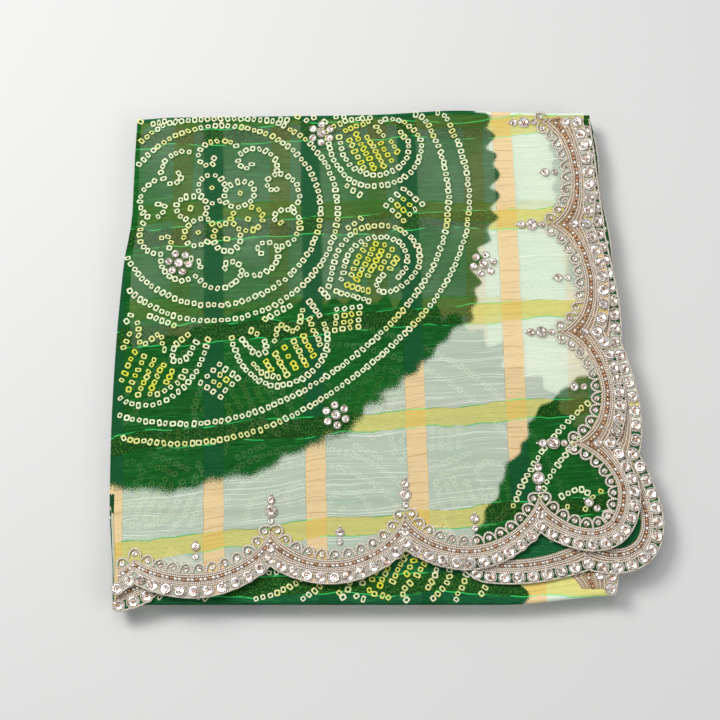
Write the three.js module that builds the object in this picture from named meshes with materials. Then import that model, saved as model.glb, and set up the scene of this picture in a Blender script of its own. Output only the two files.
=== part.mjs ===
// A folded pack of sheer tie-dyed cloth with a scalloped, embroidered edge.
// Millimetres. X to the right, Y away from the viewer, Z up. The pack lies on its flat underside.
import * as THREE from "three";

// The sheet and how closely its layers lie. The cloth is doubled at the left, so each pass of the
// to-and-fro fold holds two plies.
const SHEET_THICKNESS = 1.1;
const PLY_PITCH = 2.2;
const PASS_PITCH = 2 * PLY_PITCH;
const LEFT_TURN_RADIUS = PLY_PITCH / 2;
const FOLD_RADIUS = PASS_PITCH / 2;

// Each pass of the fold, from the top one down: where its doubled left edge lies, and where the face ply
// (uppermost in the top pass) and the back ply end at the right. Near is the viewer's side. Between near
// and far the edges bow outwards, or inwards where the bow is negative.
const PASS_COLUMNS = [
  "leftNear", "leftFar", "leftBow", "faceNear", "faceFar", "backNear", "backFar", "rightBow",
];
const PASSES = [
  [-188, -187, 2, 214, 186, 236, 192, -4],
  [-191, -185, 3, 187, 184, 193, 188, 13],
  [-189, -187, 2, 184, 183, 190, 188, 12],
  [-191, -182, 8, 188, 182, 192, 185, 13],
  [-188, -185, 4, 183, 183, 188, 187, 11],
  [-190, -186, 5, 186, 184, 191, 188, 12],
].map((row) => Object.fromEntries(row.map((value, column) => [PASS_COLUMNS[column], value])));
// Where each fold's outermost line lies, from the top one down: far, near, far, near, far.
const FOLD_LINES = [211, -192, 208, -190, 209];
const LAST_END = -187;
const NEAR_REFERENCE = -196;
const FAR_REFERENCE = 209;
// The far folds run a little askew with a low crest, and the near ones turn in at the right.
const FAR_SLANT = 0.012;
const FAR_CREST = { x: 80, reach: 45, height: 3.5 };
const NEAR_TURN = { from: 110, to: 200, depth: 7 };

// The scalloped ends of the top pass. A line runs through the inner points (cusps) of the scallops, and
// past lastMiddle the last scallop keeps its full depth, so that it runs on round the rounded free corner.
// The back ply's front end hangs lower at its doubled corner.
const FRONT_SCALLOP = 103;
const FACE_FRONT = {
  cuspX: 26, cuspY: -151, slope: 0.125, depth: 21, growth: 0.02, lastMiddle: 180.5, cornerDrop: 0,
};
const BACK_FRONT = {
  cuspX: 155, cuspY: -167, slope: 0.02, depth: 12, growth: -0.02, lastMiddle: 206.5, cornerDrop: 10,
};
const CORNER_DROP_FROM = -140;
const CORNER_DROP_TO = -178;
const SIDE_SCALLOP = 91;
const FACE_SIDE = { cuspY: 23, depth: 11.5, growth: -0.04, lastMiddle: -113.5 };
const BACK_SIDE = { cuspY: 15, depth: 6, growth: -0.045, lastMiddle: -121.5 };
const SCALLOP_FULLNESS = 0.75;
const SCALLOP_REACH = 0.8;
const CORNER_START = 0.87;

// Soft ridges and hollows of the top of the pack: centre, half length and half width, turn and height.
const CREASES = [
  { x: -150, y: 16, along: 70, across: 11, turn: 0.10, height: 2.2 },
  { x: -160, y: -66, along: 55, across: 11, turn: 0.06, height: 1.8 },
  { x: -150, y: 52, along: 60, across: 14, turn: 0.22, height: -1.3 },
  { x: 20, y: 60, along: 150, across: 38, turn: -0.12, height: 1.0 },
  { x: 40, y: -95, along: 130, across: 20, turn: 0.12, height: 0.9 },
  { x: 205, y: 20, along: 34, across: 190, turn: 0, height: 2.4 },
  { x: 110, y: 196, along: 26, across: 14, turn: 0, height: -2.0 },
  { x: -10, y: 198, along: 70, across: 16, turn: 0, height: 1.4 },
  { x: 244, y: -105, along: 26, across: 70, turn: 0, height: -4.0 },
];
// Towards the doubled left edge and the far fold the top rounds down.
const LEFT_DROP = { edge: -190, depth: 4.5 };
const FAR_DROP = { edge: 207, depth: 3.0 };
const DROP_WIDTH = 36;
const SETTLE_POWER = 1.3;

// The upper ply's front end stands a little off the one below, most at the doubled and the free corner.
const LIFTS = [
  { x: -175, y: -200, reachX: 75, reachY: 48, height: 4.5 },
  { x: 195, y: -165, reachX: 75, reachY: 60, height: 2.6 },
  { x: 20, y: -170, reachX: 110, reachY: 34, height: 1.4 },
];

// Mesh fineness: columns on a ply, steps round the left turn, rows on the top pass and on the rest.
const PLY_COLUMNS = 28;
const COARSE_STRIDE = 4;
const TURN_STEPS = 4;
const TOP_ROWS = 24;
const PASS_ROWS = 4;
const FOLD_STEPS = 5;

// The embroidered edging: a raised band just inside the scallops with a tall point at each cusp and
// a short one at each mid scallop, and the six-petalled sprays of sequins.
const TRIM_GAP = 0.4;
const BAND_OUTER_INSET = 2.5;
const BAND_WIDTH = 29;
const BAND_RIM = 0.9;
const BAND_CROWN = 1.7;
const TALL_POINT = 24;
const SHORT_POINT = 12;
const POINT_WIDTH = 10;
const BAND_ACROSS = 4;
const FRONT_BAND_ROWS = 62;
const SIDE_BAND_ROWS = 62;
const FRONT_BAND_START = 0.03;
const SIDE_BAND_END = 0.035;
const SPRAY_PETALS = 6;
const SPRAY_RADIUS = 11.5;
const SPRAY_WAIST = 0.72;
const SPRAY_FULLNESS = 0.7;
const SPRAY_HEIGHT = 1.3;
const SPRAY_POINTS = 36;
const SPRAYS = [
  { x: -32, y: 194 },
  { x: -147, y: 81 },
  { x: 100, y: 80 },
  { x: -19, y: -45 },
];

const FINISHES = {
  cloth: { color: 0x2f7a48, roughness: 0.8, metalness: 0 },
  edging: { color: 0xd9c8c0, roughness: 0.5, metalness: 0.4 },
  spray: { color: 0xe4dcd8, roughness: 0.3, metalness: 0.6 },
};

const mix = (a, b, share) => a + (b - a) * share;

function smoothStep(from, to, value) {
  const share = Math.min(1, Math.max(0, (value - from) / (to - from)));
  return share * share * (3 - 2 * share);
}

function scallop(distance, pitch) {
  return Math.pow(Math.abs(Math.sin((Math.PI * distance) / pitch)), SCALLOP_FULLNESS);
}

function frontLine(end, x) {
  const drop = end.cornerDrop * smoothStep(CORNER_DROP_FROM, CORNER_DROP_TO, x);
  return end.cuspY + end.slope * (x - end.cuspX) - drop;
}

function frontBulge(end, x) {
  return (end.depth + end.growth * x) * scallop(Math.min(x, end.lastMiddle) - end.cuspX, FRONT_SCALLOP);
}

function sideBulge(end, y) {
  const depth = Math.max(0, end.depth + end.growth * y);
  return depth * scallop(Math.max(y, end.lastMiddle) - end.cuspY, SIDE_SCALLOP);
}

// How far a fold's line at x lies from where it is at the middle.
function foldShift(far, x) {
  if (!far) return NEAR_TURN.depth * smoothStep(NEAR_TURN.from, NEAR_TURN.to, x);
  const off = (x - FAR_CREST.x) / FAR_CREST.reach;
  return FAR_SLANT * x + FAR_CREST.height * Math.exp(-off * off);
}

// Rounds the free corner: a square of shares past the corner's start becomes a quarter of a disc.
function roundCorner(share, down) {
  const a = (share - CORNER_START) / (1 - CORNER_START);
  const b = (down - CORNER_START) / (1 - CORNER_START);
  if (a <= 0 || b <= 0) return { share, down };
  return {
    share: CORNER_START + (1 - CORNER_START) * a * Math.sqrt(1 - (b * b) / 2),
    down: CORNER_START + (1 - CORNER_START) * b * Math.sqrt(1 - (a * a) / 2),
  };
}

const TOP_LEVEL = SHEET_THICKNESS / 2 + (2 * PASSES.length - 1) * PLY_PITCH;
const BELOW_TOP_LEVEL = TOP_LEVEL - PLY_PITCH;

// The lie of the top of the pack over its plan, as a height added to the topmost ply.
function topRelief(x, y) {
  let height = 0;
  for (const crease of CREASES) {
    const dx = x - crease.x;
    const dy = y - crease.y;
    const along = (dx * Math.cos(crease.turn) + dy * Math.sin(crease.turn)) / crease.along;
    const across = (dy * Math.cos(crease.turn) - dx * Math.sin(crease.turn)) / crease.across;
    height += crease.height * Math.exp(-(along * along) - across * across);
  }
  height -= LEFT_DROP.depth * (1 - smoothStep(LEFT_DROP.edge, LEFT_DROP.edge + DROP_WIDTH, x));
  height -= FAR_DROP.depth * smoothStep(FAR_DROP.edge - DROP_WIDTH, FAR_DROP.edge, y);
  return height;
}

function endLift(x, y) {
  let height = 0;
  for (const lift of LIFTS) {
    const dx = (x - lift.x) / lift.reachX;
    const dy = (y - lift.y) / lift.reachY;
    height += lift.height * Math.exp(-dx * dx - dy * dy);
  }
  return height;
}

// The layers settle: relief fades to nothing at the flat bottom ply, and the lift is the top ply's alone.
function settle(x, y, level) {
  const above = Math.max(0, level - SHEET_THICKNESS) / (TOP_LEVEL - SHEET_THICKNESS);
  const lone = Math.min(1, Math.max(0, (level - BELOW_TOP_LEVEL) / PLY_PITCH));
  const height = level + topRelief(x, y) * Math.pow(above, SETTLE_POWER) + endLift(x, y) * lone;
  return new THREE.Vector3(x, y, height);
}

// The stations across the doubled cloth: the face ply from its right end, the turn, then the back ply.
function stations(stride) {
  const list = [];
  for (let column = 0; column < PLY_COLUMNS; column += stride) list.push(column);
  for (let step = 0; step <= TURN_STEPS; step += 1) list.push(PLY_COLUMNS + step);
  for (let column = stride; column <= PLY_COLUMNS; column += stride) {
    list.push(PLY_COLUMNS + TURN_STEPS + column);
  }
  return list;
}

// Which ply a station lies on, how far it is from the left turn, and its angle round that turn.
function placeAcross(station) {
  if (station <= PLY_COLUMNS) return { turn: 0, share: 1 - station / PLY_COLUMNS };
  if (station >= PLY_COLUMNS + TURN_STEPS) {
    return { turn: Math.PI, share: (station - PLY_COLUMNS - TURN_STEPS) / PLY_COLUMNS };
  }
  return { turn: (Math.PI * (station - PLY_COLUMNS)) / TURN_STEPS, share: 0 };
}

function edgesAt(pass, y) {
  const share = (y - NEAR_REFERENCE) / (FAR_REFERENCE - NEAR_REFERENCE);
  const bow = Math.max(0, 4 * share * (1 - share));
  return {
    left: mix(pass.leftNear, pass.leftFar, share) - pass.leftBow * bow,
    face: mix(pass.faceNear, pass.faceFar, share) + pass.rightBow * bow,
    back: mix(pass.backNear, pass.backFar, share) + pass.rightBow * bow,
  };
}

// Where a point of the top pass lies in plan: its turn round the left edge, its share of the way to the
// right end and its share of the way down to the front end.
function topPlan(turn, squareShare, squareDown) {
  const { share, down } = roundCorner(squareShare, squareDown);
  const onBack = turn > Math.PI / 2;
  const nearEnd = onBack ? BACK_FRONT : FACE_FRONT;
  const otherEnd = onBack ? FACE_FRONT : BACK_FRONT;
  const blend = onBack ? 1 - turn / Math.PI : turn / Math.PI;
  const middleEdges = edgesAt(PASSES[0], 0);
  const roughX = mix(middleEdges.left, onBack ? middleEdges.back : middleEdges.face, share);
  const line = mix(frontLine(nearEnd, roughX), frontLine(otherEnd, roughX), blend);
  const frontDepth = mix(frontBulge(nearEnd, roughX), frontBulge(otherEnd, roughX), blend);
  const farEnd = FOLD_LINES[0] - FOLD_RADIUS + foldShift(true, roughX);
  const y = mix(farEnd, line, down) - frontDepth * smoothStep(SCALLOP_REACH, 1, down);
  const edges = edgesAt(PASSES[0], y);
  const straightX = mix(edges.left + LEFT_TURN_RADIUS, onBack ? edges.back : edges.face, share);
  const sideDepth = sideBulge(onBack ? BACK_SIDE : FACE_SIDE, y);
  return { x: straightX + sideDepth * smoothStep(SCALLOP_REACH, 1, share), y };
}

// One point of the doubled section as its two skins, across the pass's own forward and upward directions.
function skinPair(turn, x, y, level, ahead, upward) {
  const skins = [];
  for (const side of [0.5, -0.5]) {
    const radius = LEFT_TURN_RADIUS + side * SHEET_THICKNESS;
    const off = radius * Math.cos(turn);
    skins.push(settle(x - radius * Math.sin(turn), y + off * ahead, level + off * upward));
  }
  return skins;
}

function topPassRow(row) {
  const level = TOP_LEVEL - PLY_PITCH / 2;
  return stations(1).map((station) => {
    const { turn, share } = placeAcross(station);
    const plan = topPlan(turn, share, 1 - row / TOP_ROWS);
    return { station, pair: skinPair(turn, plan.x, plan.y, level, 0, 1) };
  });
}

// A straight point across a pass whose right ends are not scalloped.
function plainX(turn, share, edges) {
  return mix(edges.left + LEFT_TURN_RADIUS, turn > Math.PI / 2 ? edges.back : edges.face, share);
}

// One row of a lower pass, at a share of the way from the fold above it to the one below.
function passRow(index, start, finish, way) {
  const fromFar = index % 2 === 1;
  const upward = fromFar ? -1 : 1;
  const level = TOP_LEVEL - PLY_PITCH / 2 - index * PASS_PITCH;
  const straightY = mix(start, finish, way);
  const edges = edgesAt(PASSES[index], straightY);
  return stations(COARSE_STRIDE).map((station) => {
    const { turn, share } = placeAcross(station);
    const x = plainX(turn, share, edges);
    const y = straightY + mix(foldShift(fromFar, x), foldShift(!fromFar, x), way);
    return { station, pair: skinPair(turn, x, y, level, 0, upward) };
  });
}

// One row round a fold between two passes. A far fold has the face ply outside, a near fold the back ply.
function foldRow(index, step) {
  const far = index % 2 === 0;
  const outward = far ? 1 : -1;
  const angle = Math.PI / 2 - (Math.PI * step) / FOLD_STEPS;
  const centreY = FOLD_LINES[index] - outward * FOLD_RADIUS;
  const centreLevel = TOP_LEVEL - PLY_PITCH / 2 - index * PASS_PITCH - FOLD_RADIUS;
  const y = centreY + outward * FOLD_RADIUS * Math.cos(angle);
  const level = centreLevel + FOLD_RADIUS * Math.sin(angle);
  const above = edgesAt(PASSES[index], y);
  const below = edgesAt(PASSES[index + 1], y);
  const passed = step / FOLD_STEPS;
  const edges = {
    left: mix(above.left, below.left, passed),
    face: mix(above.face, below.face, passed),
    back: mix(above.back, below.back, passed),
  };
  const ahead = Math.cos(angle);
  const upward = outward * Math.sin(angle);
  return stations(COARSE_STRIDE).map((station) => {
    const { turn, share } = placeAcross(station);
    const side = turn > Math.PI / 2 ? BACK_SIDE : FACE_SIDE;
    const bulge = index === 0 ? sideBulge(side, y) * (1 - passed) * smoothStep(SCALLOP_REACH, 1, share) : 0;
    const x = plainX(turn, share, edges) + bulge;
    return { station, pair: skinPair(turn, x, y + foldShift(far, x), level, ahead, upward) };
  });
}

function clothRows() {
  const rows = [];
  for (let row = 0; row <= TOP_ROWS; row += 1) rows.push(topPassRow(row));
  for (let index = 1; index < PASSES.length; index += 1) {
    const above = FOLD_LINES[index - 1];
    const outward = index % 2 === 1 ? 1 : -1;
    for (let step = 1; step <= FOLD_STEPS; step += 1) rows.push(foldRow(index - 1, step));
    const start = above - outward * FOLD_RADIUS;
    const last = index === PASSES.length - 1;
    const finish = last ? LAST_END : FOLD_LINES[index] + outward * FOLD_RADIUS;
    for (let row = 1; row <= PASS_ROWS; row += 1) {
      rows.push(passRow(index, start, finish, row / PASS_ROWS));
    }
  }
  return rows;
}

// Closes a sheet of rows, each a list of stations with an upper and a lower skin point, into one solid.
function solidFromRows(rows) {
  const points = [];
  const faces = [];
  const numbered = rows.map((row) =>
    row.map(({ station, pair }) => {
      const numbers = pair.map((point) => points.push(point.x, point.y, point.z) / 3 - 1);
      return { station, upper: numbers[0], lower: numbers[1] };
    }),
  );
  const triangle = (a, b, c) => faces.push(a, c, b);
  const rim = (a, b) => {
    triangle(a.upper, a.lower, b.lower);
    triangle(a.upper, b.lower, b.upper);
  };
  for (let index = 0; index + 1 < numbered.length; index += 1) {
    const first = numbered[index];
    const second = numbered[index + 1];
    let i = 0;
    let j = 0;
    while (i + 1 < first.length || j + 1 < second.length) {
      const nextFirst = i + 1 < first.length ? first[i + 1].station : Infinity;
      const nextSecond = j + 1 < second.length ? second[j + 1].station : Infinity;
      if (nextFirst <= nextSecond) {
        triangle(first[i].upper, first[i + 1].upper, second[j].upper);
        triangle(first[i].lower, second[j].lower, first[i + 1].lower);
        i += 1;
      } else {
        triangle(first[i].upper, second[j + 1].upper, second[j].upper);
        triangle(first[i].lower, second[j].lower, second[j + 1].lower);
        j += 1;
      }
    }
    rim(second[0], first[0]);
    rim(first[first.length - 1], second[second.length - 1]);
  }
  const start = numbered[0];
  const end = numbered[numbered.length - 1];
  for (let i = 0; i + 1 < start.length; i += 1) rim(start[i], start[i + 1]);
  for (let i = 0; i + 1 < end.length; i += 1) rim(end[i + 1], end[i]);
  const geometry = new THREE.BufferGeometry();
  geometry.setAttribute("position", new THREE.Float32BufferAttribute(points, 3));
  geometry.setIndex(faces);
  geometry.computeVertexNormals();
  return geometry;
}

const trimLevel = (x, y) => settle(x, y, TOP_LEVEL + SHEET_THICKNESS / 2).z + TRIM_GAP;

const pointShape = (distance) => Math.exp(-Math.pow(distance / POINT_WIDTH, 2));

// One row across the band, from its outer line inwards at the given angle.
function bandRow(edge, angle, fromCusp, fromMiddle) {
  const reach = BAND_WIDTH + TALL_POINT * pointShape(fromCusp) + SHORT_POINT * pointShape(fromMiddle);
  const row = [];
  for (let step = 0; step <= BAND_ACROSS; step += 1) {
    const share = step / BAND_ACROSS;
    const inwards = mix(BAND_OUTER_INSET, reach, share);
    const x = edge.x + inwards * Math.cos(angle);
    const y = edge.y + inwards * Math.sin(angle);
    const height = mix(BAND_RIM, BAND_CROWN, Math.sin(Math.PI * share));
    const under = trimLevel(x, y);
    row.push({
      station: step,
      pair: [new THREE.Vector3(x, y, under + height), new THREE.Vector3(x, y, under)],
    });
  }
  return row;
}

// Distances to the nearest cusp and mid scallop. The corner's own scallop has its middle at the corner.
function scallopPlace(distance, pitch, cornerwards, toCorner) {
  if (cornerwards) return { fromCusp: distance, fromMiddle: toCorner };
  const fromCusp = distance - pitch * Math.round(distance / pitch);
  return { fromCusp, fromMiddle: pitch / 2 - Math.abs(fromCusp) };
}

// The band runs along the front end, round the corner and up the right end of the top ply. Each of the two
// stretches turns through half of the corner's right angle.
function edging() {
  const rows = [];
  const corner = topPlan(0, 1, 1);
  const lastFrontCusp = FACE_FRONT.lastMiddle - FRONT_SCALLOP / 2;
  const lastSideCusp = FACE_SIDE.lastMiddle + SIDE_SCALLOP / 2;
  for (let step = 0; step <= FRONT_BAND_ROWS; step += 1) {
    const share = mix(FRONT_BAND_START, 1, step / FRONT_BAND_ROWS);
    const edge = topPlan(0, share, 1);
    const turned = smoothStep(CORNER_START, 1, share) / 2;
    const cornerwards = edge.x > lastFrontCusp;
    const distance = edge.x - (cornerwards ? lastFrontCusp : FACE_FRONT.cuspX);
    const toCorner = Math.hypot(corner.x - edge.x, corner.y - edge.y);
    const place = scallopPlace(distance, FRONT_SCALLOP, cornerwards, toCorner);
    rows.push(bandRow(edge, (Math.PI / 2) * (1 + turned), place.fromCusp, place.fromMiddle));
  }
  for (let step = 1; step <= SIDE_BAND_ROWS; step += 1) {
    const down = mix(1, SIDE_BAND_END, step / SIDE_BAND_ROWS);
    const edge = topPlan(0, 1, down);
    const turned = smoothStep(CORNER_START, 1, down) / 2;
    const cornerwards = edge.y < lastSideCusp;
    const distance = edge.y - (cornerwards ? lastSideCusp : FACE_SIDE.cuspY);
    const toCorner = Math.hypot(corner.x - edge.x, corner.y - edge.y);
    const place = scallopPlace(distance, SIDE_SCALLOP, cornerwards, toCorner);
    rows.push(bandRow(edge, (Math.PI / 2) * (2 - turned), place.fromCusp, place.fromMiddle));
  }
  return solidFromRows(rows);
}

// A spray of six round petals about a middle one, as one rosette lying on the cloth.
function spray({ x, y }) {
  const outline = new THREE.Shape();
  for (let step = 0; step < SPRAY_POINTS; step += 1) {
    const angle = (2 * Math.PI * step) / SPRAY_POINTS;
    const petal = Math.pow(Math.abs(Math.cos((SPRAY_PETALS / 2) * angle)), SPRAY_FULLNESS);
    const radius = SPRAY_RADIUS * mix(SPRAY_WAIST, 1, petal);
    if (step === 0) outline.moveTo(radius, 0);
    else outline.lineTo(radius * Math.cos(angle), radius * Math.sin(angle));
  }
  outline.closePath();
  const geometry = new THREE.ExtrudeGeometry(outline, { depth: SPRAY_HEIGHT, bevelEnabled: false });
  const level = trimLevel(x, y);
  const slopeX = (trimLevel(x + SPRAY_RADIUS, y) - trimLevel(x - SPRAY_RADIUS, y)) / (2 * SPRAY_RADIUS);
  const slopeY = (trimLevel(x, y + SPRAY_RADIUS) - trimLevel(x, y - SPRAY_RADIUS)) / (2 * SPRAY_RADIUS);
  const normal = new THREE.Vector3(-slopeX, -slopeY, 1).normalize();
  const turn = new THREE.Quaternion().setFromUnitVectors(new THREE.Vector3(0, 0, 1), normal);
  geometry.applyQuaternion(turn);
  geometry.translate(x, y, level);
  return geometry;
}

function piece(name, geometry, finish) {
  const mesh = new THREE.Mesh(geometry, new THREE.MeshStandardMaterial(finish));
  mesh.name = name;
  return mesh;
}

const group = new THREE.Group();
group.add(piece("cloth", solidFromRows(clothRows()), FINISHES.cloth));
group.add(piece("edging", edging(), FINISHES.edging));
SPRAYS.forEach((place, index) => {
  group.add(piece(`spray_${index + 1}`, spray(place), FINISHES.spray));
});

// The origin is the middle of the underside's bounding rectangle.
const extent = new THREE.Box3().setFromObject(group);
const middle = extent.getCenter(new THREE.Vector3());
group.children.forEach((mesh) => mesh.geometry.translate(-middle.x, -middle.y, -extent.min.z));

export default group;
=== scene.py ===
# A folded pack of sheer tie-dyed cloth with a scalloped edging of sequins and beads.
import math

import bpy
import numpy as np
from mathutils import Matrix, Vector


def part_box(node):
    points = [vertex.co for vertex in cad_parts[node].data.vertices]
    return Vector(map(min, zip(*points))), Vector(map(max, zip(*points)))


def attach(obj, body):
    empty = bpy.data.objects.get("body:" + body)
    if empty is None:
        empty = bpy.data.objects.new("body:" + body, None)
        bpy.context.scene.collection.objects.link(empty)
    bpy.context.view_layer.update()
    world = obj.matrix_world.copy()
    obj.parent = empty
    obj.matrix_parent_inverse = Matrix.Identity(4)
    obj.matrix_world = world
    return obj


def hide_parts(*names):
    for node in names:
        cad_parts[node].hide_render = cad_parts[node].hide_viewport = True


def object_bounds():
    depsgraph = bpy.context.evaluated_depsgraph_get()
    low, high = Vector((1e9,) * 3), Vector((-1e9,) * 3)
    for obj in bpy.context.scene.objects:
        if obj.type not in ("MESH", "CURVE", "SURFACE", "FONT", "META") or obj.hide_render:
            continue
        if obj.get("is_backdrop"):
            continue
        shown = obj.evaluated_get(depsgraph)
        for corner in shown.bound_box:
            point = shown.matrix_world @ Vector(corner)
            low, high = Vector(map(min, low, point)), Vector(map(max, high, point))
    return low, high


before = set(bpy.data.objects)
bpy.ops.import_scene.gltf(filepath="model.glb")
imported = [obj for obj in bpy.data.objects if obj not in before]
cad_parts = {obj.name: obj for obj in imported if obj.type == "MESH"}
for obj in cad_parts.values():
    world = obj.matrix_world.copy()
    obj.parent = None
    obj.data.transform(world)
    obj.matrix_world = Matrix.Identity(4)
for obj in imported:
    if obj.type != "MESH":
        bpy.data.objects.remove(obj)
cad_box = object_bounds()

# The folded cloth is one length of sheer georgette, doubled at the left and laid to and fro in six
# passes, so that twelve plies lie on each other. Its free ends are cut to scallops. Sizes are in
# millimetres from the middle of the picture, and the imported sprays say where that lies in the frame.
MM = 0.001
PLY_PITCH = 2.2
SHEET_IN_FRAME = 1.1
LEFT_TURN = PLY_PITCH / 2
FOLD_RADIUS = PLY_PITCH


def table(columns, *rows):
    """Rows of values, each read by its column's name."""
    return [dict(zip(columns, row)) for row in rows]


passes = table(
    ("left_near", "left_far", "left_bow", "face_near", "face_far", "back_near", "back_far", "right_bow"),
    (-188, -187, 2, 214, 186, 236, 192, -4),
    (-191, -185, 3, 187, 184, 193, 188, 13),
    (-189, -187, 2, 184, 183, 190, 188, 12),
    (-191, -182, 8, 188, 182, 192, 185, 13),
    (-188, -185, 4, 183, 183, 188, 187, 11),
    (-190, -186, 5, 186, 184, 191, 188, 12),
)
# The turned edge stands out in the middle, past a step: its shift at each of these places.
left_wave_y = (-205, -160, -120, -40, 40, 90, 108, 125, 205)
left_wave_shift = (0, -1, -3.5, -4, -3.6, -2.8, 0, 1.4, 0.5)
fold_lines = (211, -192, 208, -190, 209)
LAST_END = -187
NEAR, FAR = -196, 209
FAR_SLANT = 0.012
far_crest = dict(x=80, reach=45, height=3.5)
near_turn = dict(start=110, end=200, depth=7)
TOP_LEVEL = SHEET_IN_FRAME / 2 + (2 * len(passes) - 1) * PLY_PITCH
spray_places = ((-32, 194), (-147, 81), (100, 80), (-19, -45))
spray_low, spray_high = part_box("spray_4")
spray_middle = [(spray_low[axis] + spray_high[axis]) / 2 / MM for axis in range(2)]
frame_shift = np.append(np.subtract(spray_middle, spray_places[3]), 0.0)

FRONT_SCALLOP, SIDE_SCALLOP = 103, 91
face_front, back_front = table(
    ("cusp_x", "cusp_y", "slope", "depth", "growth", "last_middle", "corner_drop", "drawn_up"),
    (26, -151, 0.125, 21, 0.02, 180.5, 0, 0),
    (155, -167, 0.02, 12, -0.02, 206.5, 10, 28),
)
CORNER_DROP_FROM, CORNER_DROP_TO = -140, -178
# The back ply's front end is drawn up under the face between these places.
DRAWN_UP_FROM, DRAWN_UP_TO = (-140, -120), (30, 80)
face_side, back_side = table(
    ("cusp_y", "depth", "growth", "last_middle"),
    (23, 11.5, -0.04, -113.5),
    (15, 6, -0.045, -121.5),
)
UNDER_SCALLOP_DEPTH, UNDER_SHIFT_BY_PASS, UNDER_SHIFT_ON_BACK = 5, 31, 17
SCALLOP_FULLNESS, SCALLOP_REACH, CORNER_START = 0.75, 0.8, 0.87


def mix(first, second, share):
    return first + (second - first) * share


def smooth_step(start, end, value):
    share = np.clip((value - start) / (end - start), 0, 1)
    return share * share * (3 - 2 * share)


def scallop(distance, pitch):
    return np.abs(np.sin(np.pi * distance / pitch)) ** SCALLOP_FULLNESS


def front_line(end, x):
    drop = end["corner_drop"] * smooth_step(CORNER_DROP_FROM, CORNER_DROP_TO, x)
    rise = end["drawn_up"] * smooth_step(*DRAWN_UP_FROM, x) * (1 - smooth_step(*DRAWN_UP_TO, x))
    return end["cusp_y"] + end["slope"] * (x - end["cusp_x"]) - drop + rise


def front_bulge(end, x):
    depth = end["depth"] + end["growth"] * x
    return depth * scallop(np.minimum(x, end["last_middle"]) - end["cusp_x"], FRONT_SCALLOP)


def side_bulge(end, y):
    depth = np.maximum(0, end["depth"] + end["growth"] * y)
    return depth * scallop(np.maximum(y, end["last_middle"]) - end["cusp_y"], SIDE_SCALLOP)


def fold_shift(far, x):
    """How far a fold's line at x lies from where it is at the middle."""
    if not far:
        return near_turn["depth"] * smooth_step(near_turn["start"], near_turn["end"], x)
    off = (x - far_crest["x"]) / far_crest["reach"]
    return FAR_SLANT * x + far_crest["height"] * np.exp(-off * off)


def ends_across(one_pass, y):
    """Where a pass's doubled left edge and the right ends of its face and back plies lie."""
    share = (y - NEAR) / (FAR - NEAR)
    bow = np.maximum(0, 4 * share * (1 - share))
    left = mix(one_pass["left_near"], one_pass["left_far"], share) - one_pass["left_bow"] * bow
    left = left + np.interp(y, left_wave_y, left_wave_shift)
    face = mix(one_pass["face_near"], one_pass["face_far"], share) + one_pass["right_bow"] * bow
    back = mix(one_pass["back_near"], one_pass["back_far"], share) + one_pass["right_bow"] * bow
    return left, face, back


def top_plan(turn, square_share, square_down):
    """Where a point of the top pass lies, from its shares of the way to the right and the front end."""
    a = np.clip((square_share - CORNER_START) / (1 - CORNER_START), 0, 1)
    b = np.clip((square_down - CORNER_START) / (1 - CORNER_START), 0, 1)
    share = square_share + (1 - CORNER_START) * a * (np.sqrt(1 - b * b / 2) - 1)
    down = square_down + (1 - CORNER_START) * b * (np.sqrt(1 - a * a / 2) - 1)
    back = turn / np.pi
    left, face, rear = ends_across(passes[0], 0)
    rough_x = mix(left, np.where(back > 0.5, rear, face), share)
    line = mix(front_line(face_front, rough_x), front_line(back_front, rough_x), back)
    depth = mix(front_bulge(face_front, rough_x), front_bulge(back_front, rough_x), back)
    far_end = fold_lines[0] - FOLD_RADIUS + fold_shift(True, rough_x)
    y = mix(far_end, line, down) - depth * smooth_step(SCALLOP_REACH, 1, down)
    left, face, rear = ends_across(passes[0], y)
    side_depth = np.where(back > 0.5, side_bulge(back_side, y), side_bulge(face_side, y))
    x = mix(left + LEFT_TURN, np.where(back > 0.5, rear, face), share)
    return x + side_depth * smooth_step(SCALLOP_REACH, 1, share), y


# The lie of the top of the pack: soft ridges and hollows, each with its centre, half length, half
# width, turn and height, the rounding down at the left and far edges, and the lifted free corners.
creases = table(
    ("x", "y", "along", "across", "turn", "height"),
    (-150, 16, 70, 11, 0.10, 2.2),
    (-160, -66, 55, 11, 0.06, 1.8),
    (-150, 52, 60, 14, 0.22, -1.3),
    (20, 60, 150, 38, -0.12, 1.0),
    (40, -95, 130, 20, 0.12, 0.9),
    (205, 20, 34, 190, 0, 2.4),
    (110, 196, 26, 14, 0, -2.0),
    (-10, 198, 70, 16, 0, 1.4),
    (244, -105, 26, 70, 0, -4.0),
)
lifts = table(
    ("x", "y", "reach_x", "reach_y", "height"),
    (-175, -200, 75, 48, 4.5),
    (195, -165, 75, 60, 2.6),
    (20, -170, 110, 34, 1.4),
)
LEFT_EDGE, LEFT_DROP, FAR_EDGE, FAR_DROP, DROP_WIDTH = -190, 4.5, 207, 3.0, 36
SETTLE_POWER = 1.3
CRINKLES, CRINKLE_HEIGHT = 14, 0.12
crinkle_draw = np.random.default_rng(11)
crinkle_length = crinkle_draw.uniform(150, 600, CRINKLES) * crinkle_draw.choice([-1, 1], CRINKLES)
crinkle_width = crinkle_draw.uniform(9, 24, CRINKLES)
crinkle_phase = crinkle_draw.uniform(0, 2 * np.pi, CRINKLES)


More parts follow.
